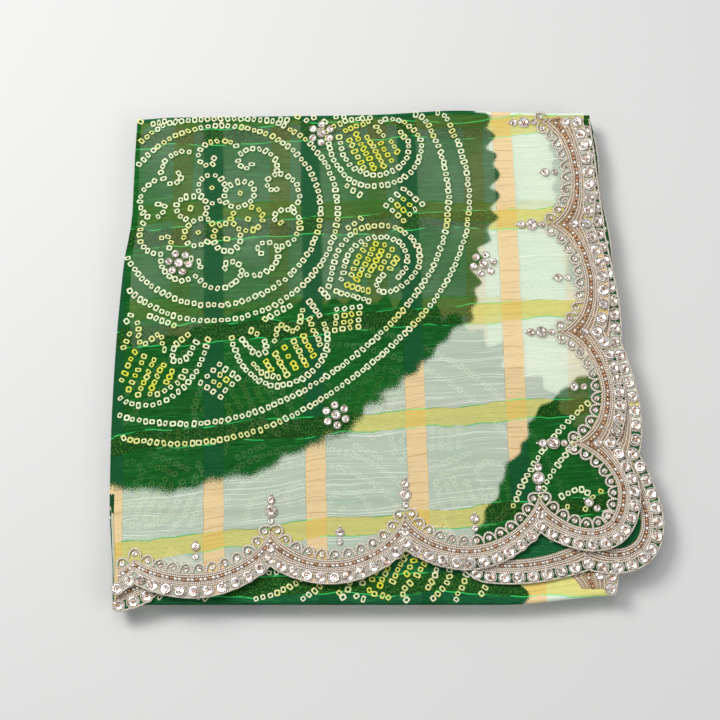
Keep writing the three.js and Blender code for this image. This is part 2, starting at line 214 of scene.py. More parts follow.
def top_relief(x, y):
    height = -LEFT_DROP * (1 - smooth_step(LEFT_EDGE, LEFT_EDGE + DROP_WIDTH, x))
    height = height - FAR_DROP * smooth_step(FAR_EDGE - DROP_WIDTH, FAR_EDGE, y)
    for crease in creases:
        dx, dy = x - crease["x"], y - crease["y"]
        cosine, sine = math.cos(crease["turn"]), math.sin(crease["turn"])
        along = (dx * cosine + dy * sine) / crease["along"]
        across = (dy * cosine - dx * sine) / crease["across"]
        height = height + crease["height"] * np.exp(-along * along - across * across)
    return height


def end_lift(x, y):
    height = 0
    for lift in lifts:
        dx, dy = (x - lift["x"]) / lift["reach_x"], (y - lift["y"]) / lift["reach_y"]
        height = height + lift["height"] * np.exp(-dx * dx - dy * dy)
    return height


def fine_crinkle(x, y):
    height = 0
    for length, width, phase in zip(crinkle_length, crinkle_width, crinkle_phase):
        height = height + CRINKLE_HEIGHT * np.sin(2 * np.pi * (x / length + y / width) + phase)
    return height


def settle(x, y, level):
    """The height at which a layer lies: relief fades to nothing at the bottom, lift is the top ply's."""
    above = np.maximum(0, level - SHEET_IN_FRAME) / (TOP_LEVEL - SHEET_IN_FRAME)
    lone = np.clip((level - TOP_LEVEL + PLY_PITCH) / PLY_PITCH, 0, 1)
    height = level + top_relief(x, y) * above**SETTLE_POWER
    return height + lone * (end_lift(x, y) + fine_crinkle(x, y))


def level_of(pass_index, on_back):
    return TOP_LEVEL - (2 * pass_index + (on_back if pass_index % 2 == 0 else 1 - on_back)) * PLY_PITCH


FACE_COLUMNS, TURN_COLUMNS, BACK_COLUMNS = 150, 8, 75
TOP_ROWS, FOLD_ROWS, PASS_ROWS = 150, 8, 38
column_turn = np.concatenate(
    [np.zeros(FACE_COLUMNS), np.linspace(0, np.pi, TURN_COLUMNS + 1), np.full(BACK_COLUMNS, np.pi)]
)
face_share = 1 - np.arange(FACE_COLUMNS) / FACE_COLUMNS
back_share = np.arange(1, BACK_COLUMNS + 1) / BACK_COLUMNS
column_share = np.concatenate([face_share, np.zeros(TURN_COLUMNS + 1), back_share])
on_back_column = column_turn > np.pi / 2
turn_out, turn_up = LEFT_TURN * np.sin(column_turn), LEFT_TURN * np.cos(column_turn)


def middle_level(pass_index):
    return TOP_LEVEL - PLY_PITCH / 2 - 2 * pass_index * PLY_PITCH


def under_bulge(pass_index, on_back, y):
    shift = UNDER_SHIFT_BY_PASS * pass_index + UNDER_SHIFT_ON_BACK * on_back
    return UNDER_SCALLOP_DEPTH * scallop(y - shift, SIDE_SCALLOP)


def pass_x(pass_index, y):
    left, face, back = ends_across(passes[pass_index], y)
    straight = mix(left + LEFT_TURN, np.where(on_back_column, back, face), column_share)
    bulge = under_bulge(pass_index, on_back_column, y)
    return straight + bulge * smooth_step(SCALLOP_REACH, 1, column_share)


rows = []
for down in np.linspace(1, 0, TOP_ROWS + 1):
    x, y = top_plan(column_turn, column_share, np.full_like(column_share, down))
    rows.append((0, x - turn_out, y, middle_level(0) + turn_up))
for index in range(1, len(passes)):
    far_fold = index % 2 == 1
    outward = 1 if far_fold else -1
    fold_start = fold_lines[index - 1] - outward * FOLD_RADIUS
    upper_x = rows[-1][1]
    lower_x = pass_x(index, fold_start) - turn_out
    reach = FOLD_RADIUS + outward * turn_up
    for step in range(1, FOLD_ROWS + 1):
        passed = step / FOLD_ROWS
        angle = math.pi / 2 - math.pi * passed
        x = mix(upper_x, lower_x, passed)
        y = fold_start + outward * reach * math.cos(angle)
        level = middle_level(index - 1) - FOLD_RADIUS + reach * math.sin(angle)
        rows.append((index - (passed <= 0.5), x, y + fold_shift(far_fold, x), level))
    last = index == len(passes) - 1
    finish = LAST_END if last else fold_lines[index] + outward * FOLD_RADIUS
    upward = 1 if index % 2 == 0 else -1
    for step in range(1, PASS_ROWS + 1):
        way = step / PASS_ROWS
        straight_y = np.full_like(column_share, mix(fold_start, finish, way))
        x = pass_x(index, straight_y) - turn_out
        y = straight_y + mix(fold_shift(far_fold, x), fold_shift(not far_fold, x), way)
        rows.append((index, x, y, middle_level(index) + upward * turn_up))
row_pass, sheet_x, sheet_y, sheet_level = (np.array(column) for column in zip(*rows))
sheet_z = settle(sheet_x, sheet_y, sheet_level)

# The weave and the dye follow each ply's own lie. The weave runs a little askew on the top ply. Dyed
# medallions stand on a staggered lattice, and each ply has its own place on it.
MEDALLION_HEIGHT_SHARE = 0.92
LATTICE_HALF, LATTICE_HALF_BENEATH = (421, 357), (429, 357)
BLEND_PAST_TURN = 8
# The back ply's free corner is dyed too: its medallion is drawn out as far as that.
DYED_CORNER_X, DYED_CORNER_Y, DYED_CORNER_DRAW = (150, 190), (-52, -64), 0.35
# The turned edges of the lower passes are dyed like the face above them.
DYED_EDGE_WIDTH, DYED_EDGE_Y = (8, 16), (-125, -110)
WARP_SLANT, WEFT_SLANT, WEFT_BEND = 0.025, 0.074, 0.0002
weave_shift = dict(back=(29, -13), second_back=(-93, 44.5))
medallion_middle = dict(face=(-112, 129.5), back=(-11, -173), second_back=(-191, -70))
PULL, PULL_AT, PULL_SPREAD = -0.09, math.radians(-52), math.radians(35)
PULL_STARTS, PULL_ENDS = (100, 190), (250, 330)


def weave_of(ply, x, y):
    if ply == "face":
        return x + WARP_SLANT * y, y - (WEFT_SLANT - WEFT_BEND * y) * x
    return x + weave_shift[ply][0], y + weave_shift[ply][1]


def pull_at(points, radius):
    """How far the bunched lower right of the top ply draws its medallion in, as a share of the radius."""
    off = np.arctan2(points[..., 1], points[..., 0]) - PULL_AT
    hold = smooth_step(*PULL_STARTS, radius) * (1 - smooth_step(*PULL_ENDS, radius))
    return PULL * np.exp(-((off / PULL_SPREAD) ** 2)) * hold


def drawn_out(points):
    """Where a point of the even medallion lies on the bunched top ply."""
    even = np.linalg.norm(points, axis=-1)
    radius = even
    for _ in range(5):
        radius = even * (1 + pull_at(points, radius))
    return points * (radius / np.maximum(even, 1e-6))[..., None]


def pattern_on(ply, x, y):
    """A ply's place on the weave, and its place from the medallion's middle."""
    weave_x, weave_y = weave_of(ply, x, y)
    middle_x, middle_y = medallion_middle[ply]
    from_middle = np.stack([weave_x - middle_x, (weave_y - middle_y) / MEDALLION_HEIGHT_SHARE], axis=-1)
    if ply == "face":
        radius = np.linalg.norm(from_middle, axis=-1)
        from_middle = from_middle / (1 + pull_at(from_middle, radius))[..., None]
    return np.concatenate([np.stack([weave_x, weave_y], axis=-1), from_middle], axis=-1)


def pattern_on_row(pass_index, x, y):
    """The pattern runs on round each fold, so a later pass reads it mirrored at the folds above it."""
    face_y, back_y = y, y
    for index in range(pass_index, 0, -1):
        face_y = 2 * fold_lines[index - 1] - face_y
        if index > 1:
            back_y = 2 * fold_lines[index - 1] - back_y
    face = pattern_on("face", x, face_y)
    back = pattern_on("back" if pass_index == 0 else "second_back", x, back_y)
    if pass_index == 0:
        in_corner = smooth_step(*DYED_CORNER_X, x) * smooth_step(*DYED_CORNER_Y, y)
        back[:, 2:] *= 1 - DYED_CORNER_DRAW * in_corner[:, None]
    past_turn = np.where(on_back_column, smooth_step(0, BLEND_PAST_TURN, x - x.min()), 0)
    pattern = mix(face, back, past_turn[:, None])
    if pass_index > 0:
        on_edge = smooth_step(*DYED_EDGE_Y, y) * (1 - smooth_step(*DYED_EDGE_WIDTH, x - x.min()))
        pattern = mix(pattern, pattern_on("face", x, y), on_edge[:, None])
    return pattern


sheet_pattern = np.stack([pattern_on_row(row_pass[i], sheet_x[i], sheet_y[i]) for i in range(len(rows))])


def place_in_frame(points):
    return (points + frame_shift) * MM


def grid_quads(row_count, column_count, closed=False):
    """The quads of a sheet of points, or of a closed tube of them, with each corner's row and column."""
    steps = column_count if closed else column_count - 1
    row, column = np.divmod(np.arange((row_count - 1) * steps), steps)
    corner_row = np.stack([row, row, row + 1, row + 1], axis=-1)
    corner_column = np.stack([column, column + 1, column + 1, column], axis=-1)
    return corner_row * column_count + corner_column % column_count, corner_row, corner_column


def new_piece(name, points, quads, corner_maps):
    """A mesh piece on the pack's one body, with its corner maps, each a name and a pair of numbers."""
    mesh = bpy.data.meshes.new(name)
    mesh.from_pydata(place_in_frame(points), [], quads)
    mesh.polygons.foreach_set("use_smooth", np.ones(len(quads), dtype=bool))
    for map_name, corner_values in corner_maps:
        layer = mesh.uv_layers.new(name=map_name)
        layer.data.foreach_set("uv", np.ascontiguousarray(corner_values, dtype=np.float32).ravel())
    mesh.update()
    piece = bpy.data.objects.new(name, mesh)
    bpy.context.scene.collection.objects.link(piece)
    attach(piece, "root")
    return piece


# Most of the finish map goes to the visible top ply, and the hidden plies share its margins.
TOP_MAP_SIDE, MAP_MARGIN = 0.78, 0.005
lower_rows = FOLD_ROWS + PASS_ROWS
lower_passes = len(passes) - 1
lower_share = np.arange(1, lower_rows + 1) / lower_rows
row_share = np.concatenate([np.linspace(0, 1, TOP_ROWS + 1), np.tile(lower_share, lower_passes)])
row_block = np.repeat(np.arange(len(passes)), [TOP_ROWS + 1] + [lower_rows] * lower_passes)
sheet_quads, corner_row, corner_column = grid_quads(len(rows), len(column_share))
quad_column = corner_column[:, :1]
quad_block = row_block[corner_row[:, 3:]]
row_down = np.where(row_block[corner_row] == quad_block, row_share[corner_row], 0.0)
margin_start = TOP_MAP_SIDE + 2 * MAP_MARGIN
margin_width = 1 - margin_start - MAP_MARGIN
block_width = 1 / lower_passes
face_u = MAP_MARGIN + TOP_MAP_SIDE * corner_column / FACE_COLUMNS
rest_u = margin_start + margin_width * (corner_column - FACE_COLUMNS) / (TURN_COLUMNS + BACK_COLUMNS)
lower_u = (block_width - 2 * MAP_MARGIN) * corner_column / (len(column_share) - 1)
lower_u = lower_u + (quad_block - 1) * block_width + MAP_MARGIN
map_u = np.where(quad_block > 0, lower_u, np.where(quad_column < FACE_COLUMNS, face_u, rest_u))
top_v, lower_v = MAP_MARGIN + TOP_MAP_SIDE * row_down, margin_start + margin_width * row_down
map_v = np.where(quad_block > 0, lower_v, top_v)
sheet_points = np.stack([sheet_x, sheet_y, sheet_z], axis=-1).reshape(-1, 3)
corner_pattern = sheet_pattern.reshape(-1, 4)[sheet_quads]
cloth = new_piece(
    "bandhani_cloth",
    sheet_points,
    sheet_quads,
    [
        ("OFBake", np.stack([map_u, map_v], axis=-1)),
        ("weave", corner_pattern[..., :2]),
        ("medallion", corner_pattern[..., 2:]),
    ],
)
is_top_ply = (quad_block == 0) & (quad_column < FACE_COLUMNS + TURN_COLUMNS // 2)
cloth.data.polygons.foreach_set("material_index", np.where(is_top_ply, 0, 1).ravel().astype(np.int32))
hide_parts("cloth")

# The cloth's finish: pale mint georgette with woven peach warp stripes and yellow weft stripes edged
# with a bright green thread, tie-dyed green in lobed medallions, and sheer where it lies single, with
# painted shade in the hollows of soft folds and the creases of the peach stripes, and painted light on the
# fold ridges.
PEACH_PITCH, PEACH_AT, PEACH_HALF = 80, 43, 8.0
YELLOW_PITCH, YELLOW_AT, YELLOW_HALF = 82.5, 114, 7.4
SWAY_ALONG, SWAY_ALONG_FINE, SWAY_ACROSS = 14.0, 4.5, 2.0
STRIPE_SOFT, EDGE_THREAD = 0.4, 0.6
# Each kind of hair line in the crinkle: its place, its pitch, how fast it fades and its half width.
# The peach crease lines are painted shade along fine creases of the peach stripes.
HAIR_SWAY = 26.0
CLOSE_HAIR, WIDE_HAIR, SHADED_PEACH_CREASES = (0.0, 4.3, 0.007, 0.5), (1.3, 6.9, 0.011, 0.65), (2.1, 8.3, 0.03, 0.85)
# The dyed edge's lobes, feathering, runs and spread change between these places about the middle.
DYE_RADIUS, DYE_SWELL, DYE_EDGE = 229, 30.0, 0.9
DYE_LOBES, LOBE_DEPTHS, LOBE_SHARES = 72, (3.0, 10.0), (0.35, 1.0)
LOBE_X, LOBE_Y = (-80.0, 60.0), (-170.0, -30.0)
FEATHER_Y, FEATHER_SIZES = (-190.0, -60.0), (30.0, 11.0)
DYE_RUN, RUN_X, RUN_Y = 5, (60.0, -70.0), (-120.0, -215.0)
DYE_SPREAD, SPREAD_NEAR_Y, SPREAD_FAR_Y, SPREAD_FAR_X = 14, (-20.0, -120.0), (48.0, 80.0), (0.0, 60.0)
GROUND_COVER, HAIR_COVER, YELLOW_COVER = 0.54, 0.78, 0.7
DYED_COVER, PEACH_COVER = (0.66, 0.78), (0.8, 0.9)
# Hollow colours are painted shade in fold hollows; the ridge green is painted light on fold ridges.
MINT, PALE_MINT, MINT_SHADE_IN_HOLLOWS, MINT_HAIR = "D6EBD4", "F2F7E4", "C2D8C4", "FBFFF6"
# The peach fold colour is painted shade along the creases of the peach stripes.
PEACH, PALE_PEACH, CREASE_SHADE_ON_PEACH, PEACH_ON_YELLOW = "ECC88C", "FAE2B4", "B98A50", "E8CA70"
YELLOW, PALE_YELLOW, EDGE_GREEN, EDGE_DYED = "CBC65C", "F4F0A2", "7CF08C", "35CE66"
GREEN, FRESH_GREEN, GREEN_BENEATH = "03480E", "0B5E18", "0C4C34"
GREEN_WEFT, GREEN_SHADE_IN_HOLLOWS, GREEN_LIGHT_ON_RIDGES = "268030", "023812", "3F9A46"
PEACH_DYED, PEACH_HALF_DYED, YELLOW_DYED, YELLOW_HALF_DYED = "084420", "126032", "063A0E", "508C28"


def dye(code):
    """A colour as written on a colour card, turned to the light values that a shader takes."""
    parts = [int(code[i : i + 2], 16) / 255 for i in (0, 2, 4)]
    light = [p / 12.92 if p <= 0.04045 else ((p + 0.055) / 1.055) ** 2.4 for p in parts]
    return np.array([*light, 1.0])


class Finish:
    """A material's nodes, added one at a time and joined by their sockets."""

    def __init__(self, name):
        self.material = bpy.data.materials.new(name)
        self.material.use_nodes = True
        self.nodes = self.material.node_tree.nodes
        self.links = self.material.node_tree.links
        self.shader = self.nodes["Principled BSDF"]

    def feed(self, socket, value):
        if isinstance(value, bpy.types.NodeSocket):
            self.links.new(value, socket)
        else:
            socket.default_value = dye(value) if isinstance(value, str) else value

    def node(self, kind, values=(), **settings):
        """A new node with its settings, and its inputs fed in turn."""
        node = self.nodes.new("ShaderNode" + kind)
        for name, value in settings.items():
            setattr(node, name, value)
        for socket, value in zip(node.inputs, values):
            self.feed(socket, value)
        return node

    def number(self, operation, *values):
        return self.node("Math", values, operation=operation).outputs[0]

    def times(self, first, second):
        return self.number("MULTIPLY", first, second)

    def vector(self, operation, *values):
        node = self.node("VectorMath", values, operation=operation)
        return node.outputs["Value" if operation == "LENGTH" else 0]

    def ramp(self, value, start, end, low=0.0, high=1.0):
        ends = (value, start, end, low, high)
        return self.node("MapRange", ends, interpolation_type="SMOOTHSTEP").outputs[0]

    def colour(self, share, first, second):
        node = self.node("Mix", data_type="RGBA")
        for socket, value in ((0, share), (6, first), (7, second)):
            self.feed(node.inputs[socket], value)
        return node.outputs[2]

    def map(self, name):
        return self.node("UVMap", uv_map=name).outputs[0]

    def split(self, vector):
        return self.node("SeparateXYZ", [vector]).outputs[:2]

    def grain(self, vector, scale, detail=2.0, distortion=0.0):
        node = self.node("TexNoise")
        self.feed(node.inputs["Vector"], vector)
        node.inputs["Scale"].default_value = scale
        node.inputs["Detail"].default_value = detail
        node.inputs["Distortion"].default_value = distortion
        return node.outputs[0]

    def bump(self, height, distance):
        node = self.node("Bump")
        node.inputs["Distance"].default_value = distance
        self.feed(node.inputs["Height"], height)
        self.links.new(node.outputs[0], self.shader.inputs["Normal"])

    def surface(self, values):
        for name, value in values.items():
            self.feed(self.shader.inputs[name], value)


def cloth_finish(name, sheer):
    """The weave, its stripes and the dye: sheer for the top ply, and close for the plies beneath."""
    finish = Finish(name)
    number, times, vector = finish.number, finish.times, finish.vector
    ramp, colour, grain = finish.ramp, finish.colour, finish.grain

    def about_zero(noise, size):
        return times(number("SUBTRACT", noise, 0.5), size)

    def drawn(scale_across, scale_along, *settings):
        return grain(vector("MULTIPLY", weave, (scale_across, scale_along, 1.0)), *settings)

    def layered(base, *layers):
        """A base colour with others laid over it in turn, each by its share and its strength."""
        for share, strength, over in layers:
            base = colour(times(share, strength), base, over)
        return base

    weave = finish.map("weave")
    across, along = finish.split(weave)
    sway_fine = grain(weave, 0.05, 1.0)
    row_place = number("ADD", along, about_zero(grain(weave, 0.016, 1.0), SWAY_ALONG))
    row_place = number("ADD", row_place, about_zero(sway_fine, SWAY_ALONG_FINE))
    column_place = number("ADD", across, about_zero(sway_fine, SWAY_ACROSS))

    def stripe(place, at, pitch):
        off = number("WRAP", number("SUBTRACT", place, at), pitch / 2, -pitch / 2)
        return number("ABSOLUTE", off)

    peach_off = stripe(column_place, PEACH_AT, PEACH_PITCH)
    yellow_off = stripe(row_place, YELLOW_AT, YELLOW_PITCH)
    peach = ramp(peach_off, PEACH_HALF + STRIPE_SOFT, PEACH_HALF - STRIPE_SOFT)
    yellow = ramp(yellow_off, YELLOW_HALF + STRIPE_SOFT, YELLOW_HALF - STRIPE_SOFT)
    edge_off = number("ABSOLUTE", number("SUBTRACT", yellow_off, YELLOW_HALF + EDGE_THREAD / 2))
    edge_breaks = ramp(grain(weave, 0.06, 1.0), 0.42, 0.55)
    edge_line = ramp(edge_off, EDGE_THREAD, EDGE_THREAD * 0.3)
    edge_thread = times(edge_line, edge_breaks)

    # Crinkle: long, wavy, nearly level hair lines that fade in and out, and the weft of twisted yarn.
    # Soft folds get painted shade in their hollows and painted light on their ridges.
    hair_place = number("ADD", along, about_zero(drawn(0.009, 0.014, 1.0), HAIR_SWAY))

    def hair_lines(at, pitch, fade_along, half):
        fade = drawn(fade_along, 0.11, 1.0)
        line = ramp(stripe(hair_place, at, pitch), half, 0.0)
        return times(line, ramp(fade, 0.4, 0.58))

    hair = number("MAXIMUM", hair_lines(*CLOSE_HAIR), hair_lines(*WIDE_HAIR))
    # Painted shade along the fine creases of the peach stripes.
    painted_crease_shade = hair_lines(*SHADED_PEACH_CREASES)
    weft = drawn(0.12, 1.1, 1.4)
    cloud = grain(weave, 0.011)
    # A stretched noise marks soft folds, for painted shade in their hollows and painted light on their
    # ridges.
    fold_shading_noise = drawn(0.035, 0.42, 1.0, 4.0, 0.6)
    painted_hollow_shade = ramp(fold_shading_noise, 0.5, 0.72)
    painted_ridge_light = ramp(fold_shading_noise, 0.48, 0.3)

    # The undyed ground and its stripes, with painted shade in the fold hollows.
    ground = layered(colour(cloud, MINT, PALE_MINT), (painted_hollow_shade, 0.35, MINT_SHADE_IN_HOLLOWS), (hair, 0.7, MINT_HAIR))
    # The peach yarn takes painted crease shade.
    peach_yarn = layered(colour(weft, PEACH, PALE_PEACH), (painted_crease_shade, 0.45, CREASE_SHADE_ON_PEACH))
    yellow_yarn = colour(peach, colour(weft, YELLOW, PALE_YELLOW), PEACH_ON_YELLOW)
    striped = layered(ground, (peach, 1.0, peach_yarn), (yellow, 1.0, yellow_yarn))
    undyed = colour(edge_thread, striped, EDGE_GREEN)

    # The green dye over the same weave, with painted shade in the fold hollows and painted light on
    # the fold ridges. It takes less on the yellow yarn, which stays streaked.
    streaks = drawn(0.8, 0.5, 1.0, 4.0)
    green = colour(cloud, GREEN, FRESH_GREEN) if sheer else GREEN_BENEATH
    green = layered(green, (ramp(weft, 0.3, 0.75), 0.5, GREEN_WEFT), (painted_hollow_shade, 0.4, GREEN_SHADE_IN_HOLLOWS))
    green = layered(green, (painted_ridge_light, 0.3, GREEN_LIGHT_ON_RIDGES))
    green_peach = colour(weft, PEACH_DYED, PEACH_HALF_DYED)
    green_yellow = colour(ramp(streaks, 0.42, 0.8), YELLOW_DYED, YELLOW_HALF_DYED)
    striped_green = layered(green, (peach, 1.0, green_peach), (yellow, 0.9, green_yellow))
    dyed = colour(edge_thread, striped_green, EDGE_DYED)

    # The dyed medallions: the nearer of two staggered lattices, with a lobed, feathered edge.
    place = finish.map("medallion")
    lattice = LATTICE_HALF if sheer else LATTICE_HALF_BENEATH
    half = (*lattice, 1.0)
    minus_half = tuple(-value for value in half)
    first = vector("WRAP", place, half, minus_half)
    second = vector("WRAP", vector("ADD", place, (*lattice, 0.0)), half, minus_half)
    first_radius = vector("LENGTH", first)
    second_radius = vector("LENGTH", second)
    nearer = finish.node("Mix", data_type="VECTOR")
    second_is_nearer = number("LESS_THAN", second_radius, first_radius)
    for socket, value in ((0, second_is_nearer), (4, first), (5, second)):
        finish.feed(nearer.inputs[socket], value)
    spoke_x, spoke_y = finish.split(nearer.outputs[1])
    angle = number("ARCTAN2", spoke_y, spoke_x)
    radius = number("MINIMUM", first_radius, second_radius)
    uneven = grain(weave, 0.022)
    turned = number("MULTIPLY_ADD", uneven, 5.0, times(angle, DYE_LOBES))
    lobe = number("MULTIPLY_ADD", number("COSINE", turned), 0.5, 0.5)
    lobe_depth = times(ramp(spoke_y, *LOBE_Y, *LOBE_SHARES), ramp(spoke_x, *LOBE_X, *LOBE_DEPTHS))
    lobe_size = ramp(grain(weave, 0.02, 1.0), 0.35, 0.6, 0.55, 1.0)
    notch = times(lobe, times(lobe_size, lobe_depth))
    swell = about_zero(uneven, DYE_SWELL)
    feather = about_zero(grain(weave, 1.5, 3.0), ramp(spoke_y, *FEATHER_Y, *FEATHER_SIZES))
    reach = number("ADD", number("ADD", radius, notch), number("ADD", swell, feather))
    run = times(times(ramp(spoke_x, *RUN_X), ramp(spoke_y, *RUN_Y)), DYE_RUN)
    spread_far = times(ramp(spoke_y, *SPREAD_FAR_Y), ramp(spoke_x, *SPREAD_FAR_X))
    spread = times(number("ADD", ramp(spoke_y, *SPREAD_NEAR_Y), spread_far), DYE_SPREAD)
    reach = number("SUBTRACT", reach, number("ADD", run, spread))
    dyed_share = ramp(reach, DYE_RADIUS + DYE_EDGE, DYE_RADIUS - DYE_EDGE)

    shown = colour(dyed_share, undyed, dyed)
    finish.surface({"Base Color": shown, "Roughness": 0.8})
    finish.surface({"Specular IOR Level": 0.12, "Sheen Weight": 0.03})
    if sheer:
        peach_cover = times(peach, ramp(dyed_share, 0.0, 1.0, *PEACH_COVER))
        stripe_cover = number("MAXIMUM", peach_cover, times(yellow, YELLOW_COVER))
        undyed_share = number("SUBTRACT", 1.0, dyed_share)
        undyed_cover = times(ramp(hair, 0.0, 1.0, GROUND_COVER, HAIR_COVER), undyed_share)
        dyed_cover = times(dyed_share, ramp(cloud, 0.35, 0.65, *DYED_COVER))
        ground_cover = number("MAXIMUM", undyed_cover, dyed_cover)
        finish.surface({"Alpha": number("MAXIMUM", ground_cover, stripe_cover)})
    raised = number("MULTIPLY_ADD", weft, 0.5, times(hair, 0.8))
    raised = number("ADD", raised, number("MAXIMUM", peach, yellow))
    finish.bump(raised, 0.0003)
    return finish.material


cloth.data.materials.append(cloth_finish("sheer tie-dyed georgette", sheer=True))
cloth.data.materials.append(cloth_finish("tie-dyed georgette beneath", sheer=False))

# The tie marks are the small squares left undyed where a pinch of cloth was bound with thread before
# the dye bath. Each stands up a little round a green middle. They run in rings, lobes, petals, mangoes
# and lozenges about each medallion's middle, on the top ply, the ply under it and the near fold.
MARK_PITCH, MARK_HALF = 5.6, 2.3
MARK_CREST_SHARE, MARK_HOLE_SHARE = 0.76, 0.5
MARK_FOOT, MARK_CREST, MARK_DIP = 0.10, 0.45, 0.12
RING_RADII = (83, 97, 190, 207)
PETALS, PETAL_AT, PETAL_SIZE, FIRST_PETAL = 6, 23.5, (13, 11), 105
MARK_JITTER, LEAST_APART = 0.3, 3.7
LOBES, LOBE_INNER, LOBE_OUTER, LOBE_FULLNESS = 10, 56, 68, 0.55
hook = ((0, 50.5), (-3.5, 46), (-9, 45.5), (-11.5, 50))
MOTIFS, MOTIF_AT, LOZENGE_AT, LOZENGE_SIDE, LOZENGE_STEP = 8, 143, 152, 4, 5.04
mark_draw = np.random.default_rng(5)
marks = []


def run_along(line):
    """The distance from the start of a line of points to each of them."""
    return np.concatenate([[0], np.cumsum(np.linalg.norm(np.diff(line, axis=0), axis=1))])


def heading(angle):
    return np.stack([np.cos(angle), np.sin(angle)], axis=-1)


def along_line(line, run, at, step):
    """The points at given distances along a line, with the line's direction at each."""

    def point(distance):
        return np.stack([np.interp(distance, run, line[:, axis]) for axis in range(2)], axis=-1)

    ahead = point(np.minimum(at + step, run[-1])) - point(np.maximum(at - step, 0))
    return point(at), np.arctan2(ahead[:, 1], ahead[:, 0])


def spaced(curve, pitch, closed=False):
    """Points a pitch apart along a curve, with the curve's direction at each."""
    curve = np.asarray(curve, dtype=float)
    if closed:
        curve = np.vstack([curve, curve[:1]])
    run = run_along(curve)
    count = max(1, round(run[-1] / pitch))
    at = np.linspace(0, run[-1], count + 1)
    return along_line(curve, run, at[:-1] if closed else at, 0.5)


def mark_dots(points, direction, yellow=0.0):
    directions = np.broadcast_to(direction, len(points))
    marks.append(np.column_stack([points, directions, np.full(len(points), yellow)]))


def mark_line(curve, closed=False, yellow=0.0):
    points, direction = spaced(curve, MARK_PITCH, closed)
    mark_dots(points, direction, yellow)


def about_middle(points, angle):
    """Points given as sideways and outwards, turned to stand at an angle about the middle."""
    points = np.atleast_2d(np.asarray(points, dtype=float))
    return points[:, :1] * heading(angle + math.pi / 2) + points[:, 1:] * heading(angle)


full_turn = np.linspace(0, 2 * np.pi, 361)[:-1]
circle = heading(full_turn)
for ring in RING_RADII:
    mark_line(circle * ring, closed=True)
for petal in range(PETALS):
    angle = math.radians(FIRST_PETAL - 360 / PETALS * petal)
    loop = circle[:, ::-1] * (PETAL_SIZE[1], PETAL_SIZE[0]) + (0, PETAL_AT)
    mark_line(about_middle(loop, angle), closed=True, yellow=0.7 if petal == 2 else 0.0)
    mark_dots(about_middle((0, PETAL_AT + 1), angle), angle, yellow=0.5)
lobe_reach = mix(LOBE_INNER, LOBE_OUTER, np.abs(np.sin(full_turn * LOBES / 2)) ** LOBE_FULLNESS)
mark_line(circle * lobe_reach[:, None], closed=True)
for lobe in range(LOBES):
    mark_dots(about_middle(hook, 2 * math.pi * lobe / LOBES), mark_draw.uniform(0, 3))

# Two motifs fill the wide ring in mirrored pairs: a mango with a curled tip, and a bowl. Each row of
# marks is given by its yellow share and the points that it bends through, sideways and outwards.
mango_back = ((33, -33), (8, -38), (-17, -34), (-32, -17), (-35, 5), (-25, 25), (-6, 35))
mango_tip = ((14, 31), (25, 18), (20, 7), (10, 9))
mango_rows = (
    (0.0, (*mango_back, *mango_tip)),
    (0.0, ((24, -25), (-1, -29), (-19, -18), (-25, 3), (-17, 18), (-4, 25), (8, 23))),
    (0.9, ((-12, -19), (18, -19))),
    (1.0, ((-16, -11), (21, -12))),
    (0.9, ((-17, -3), (14, -4))),
    (1.0, ((-15, 5), (4, 4))),
    (0.9, ((-9, 13), (2, 12))),
    (0.1, ((36, -25), (37, 8))),
    (0.8, ((28, -18), (28, 3))),
    (0.0, ((38, -38), (43, -30))),
    (0.2, ((-34, -32), (-22, -38))),
)
bowl_rows = (
    (0.0, ((-35, -34), (-37, -12), (-32, 12), (-18, 30), (5, 35), (25, 26), (36, 8), (38, -14), (34, -36))),
    (0.0, ((-27, -29), (-24, -13), (-15, -9), (-12, -18))),
    (0.3, ((-28, -3), (-25, 10), (-15, 22))),
    (1.0, ((-18, 0), (-17, 15))),
    (0.9, ((-9, -3), (-8, 24))),
    (1.0, ((0, -5), (1, 26))),
    (0.9, ((9, -6), (10, 24))),
    (1.0, ((18, -7), (19, 18))),
    (0.4, ((-18, -33), (-6, -15), (4, -27), (14, -15), (26, -31))),
    (0.0, ((-4, -38), (18, -40))),
    (0.2, ((28, -20), (28, 10))),
)


def bent_through(points):
    """A smooth curve through the points of a row of marks."""
    points = np.array(points, dtype=float)
    if len(points) < 3:
        return points
    ends = np.vstack([2 * points[0] - points[1], points, 2 * points[-1] - points[-2]])
    before, here, there, beyond = ends[:-3], ends[1:-2], ends[2:-1], ends[3:]
    way = np.linspace(0, 1, 13)[:, None, None]
    cubic = 3 * here - before - 3 * there + beyond
    quadratic = 2 * before - 5 * here + 4 * there - beyond
    curve = here + way / 2 * (there - before + way * (quadratic + way * cubic))
    return curve.transpose(1, 0, 2).reshape(-1, 2)


for motif in range(MOTIFS):
    angle = 2 * math.pi * (motif + 0.5) / MOTIFS
    hand = 1 if motif % 2 == 0 else -1
    for yellow, bends in mango_rows if motif in (0, 7, 3, 4) else bowl_rows:
        row = bent_through(bends) * (hand, 1) + (0, MOTIF_AT)
        mark_line(about_middle(row, angle), yellow=yellow)
    lozenge_angle = 2 * math.pi * motif / MOTIFS
    for row in range(LOZENGE_SIDE):
        for column in range(LOZENGE_SIDE):
            across = (column - row) * LOZENGE_STEP
            out = (column + row - LOZENGE_SIDE + 1) * LOZENGE_STEP
            inner = 0 < row < LOZENGE_SIDE - 1 and 0 < column < LOZENGE_SIDE - 1
            place = about_middle((across, LOZENGE_AT + out), lozenge_angle)
            mark_dots(place, lozenge_angle + math.pi / 4, yellow=0.9 if inner else 0.0)
medallion_marks = np.vstack(marks)


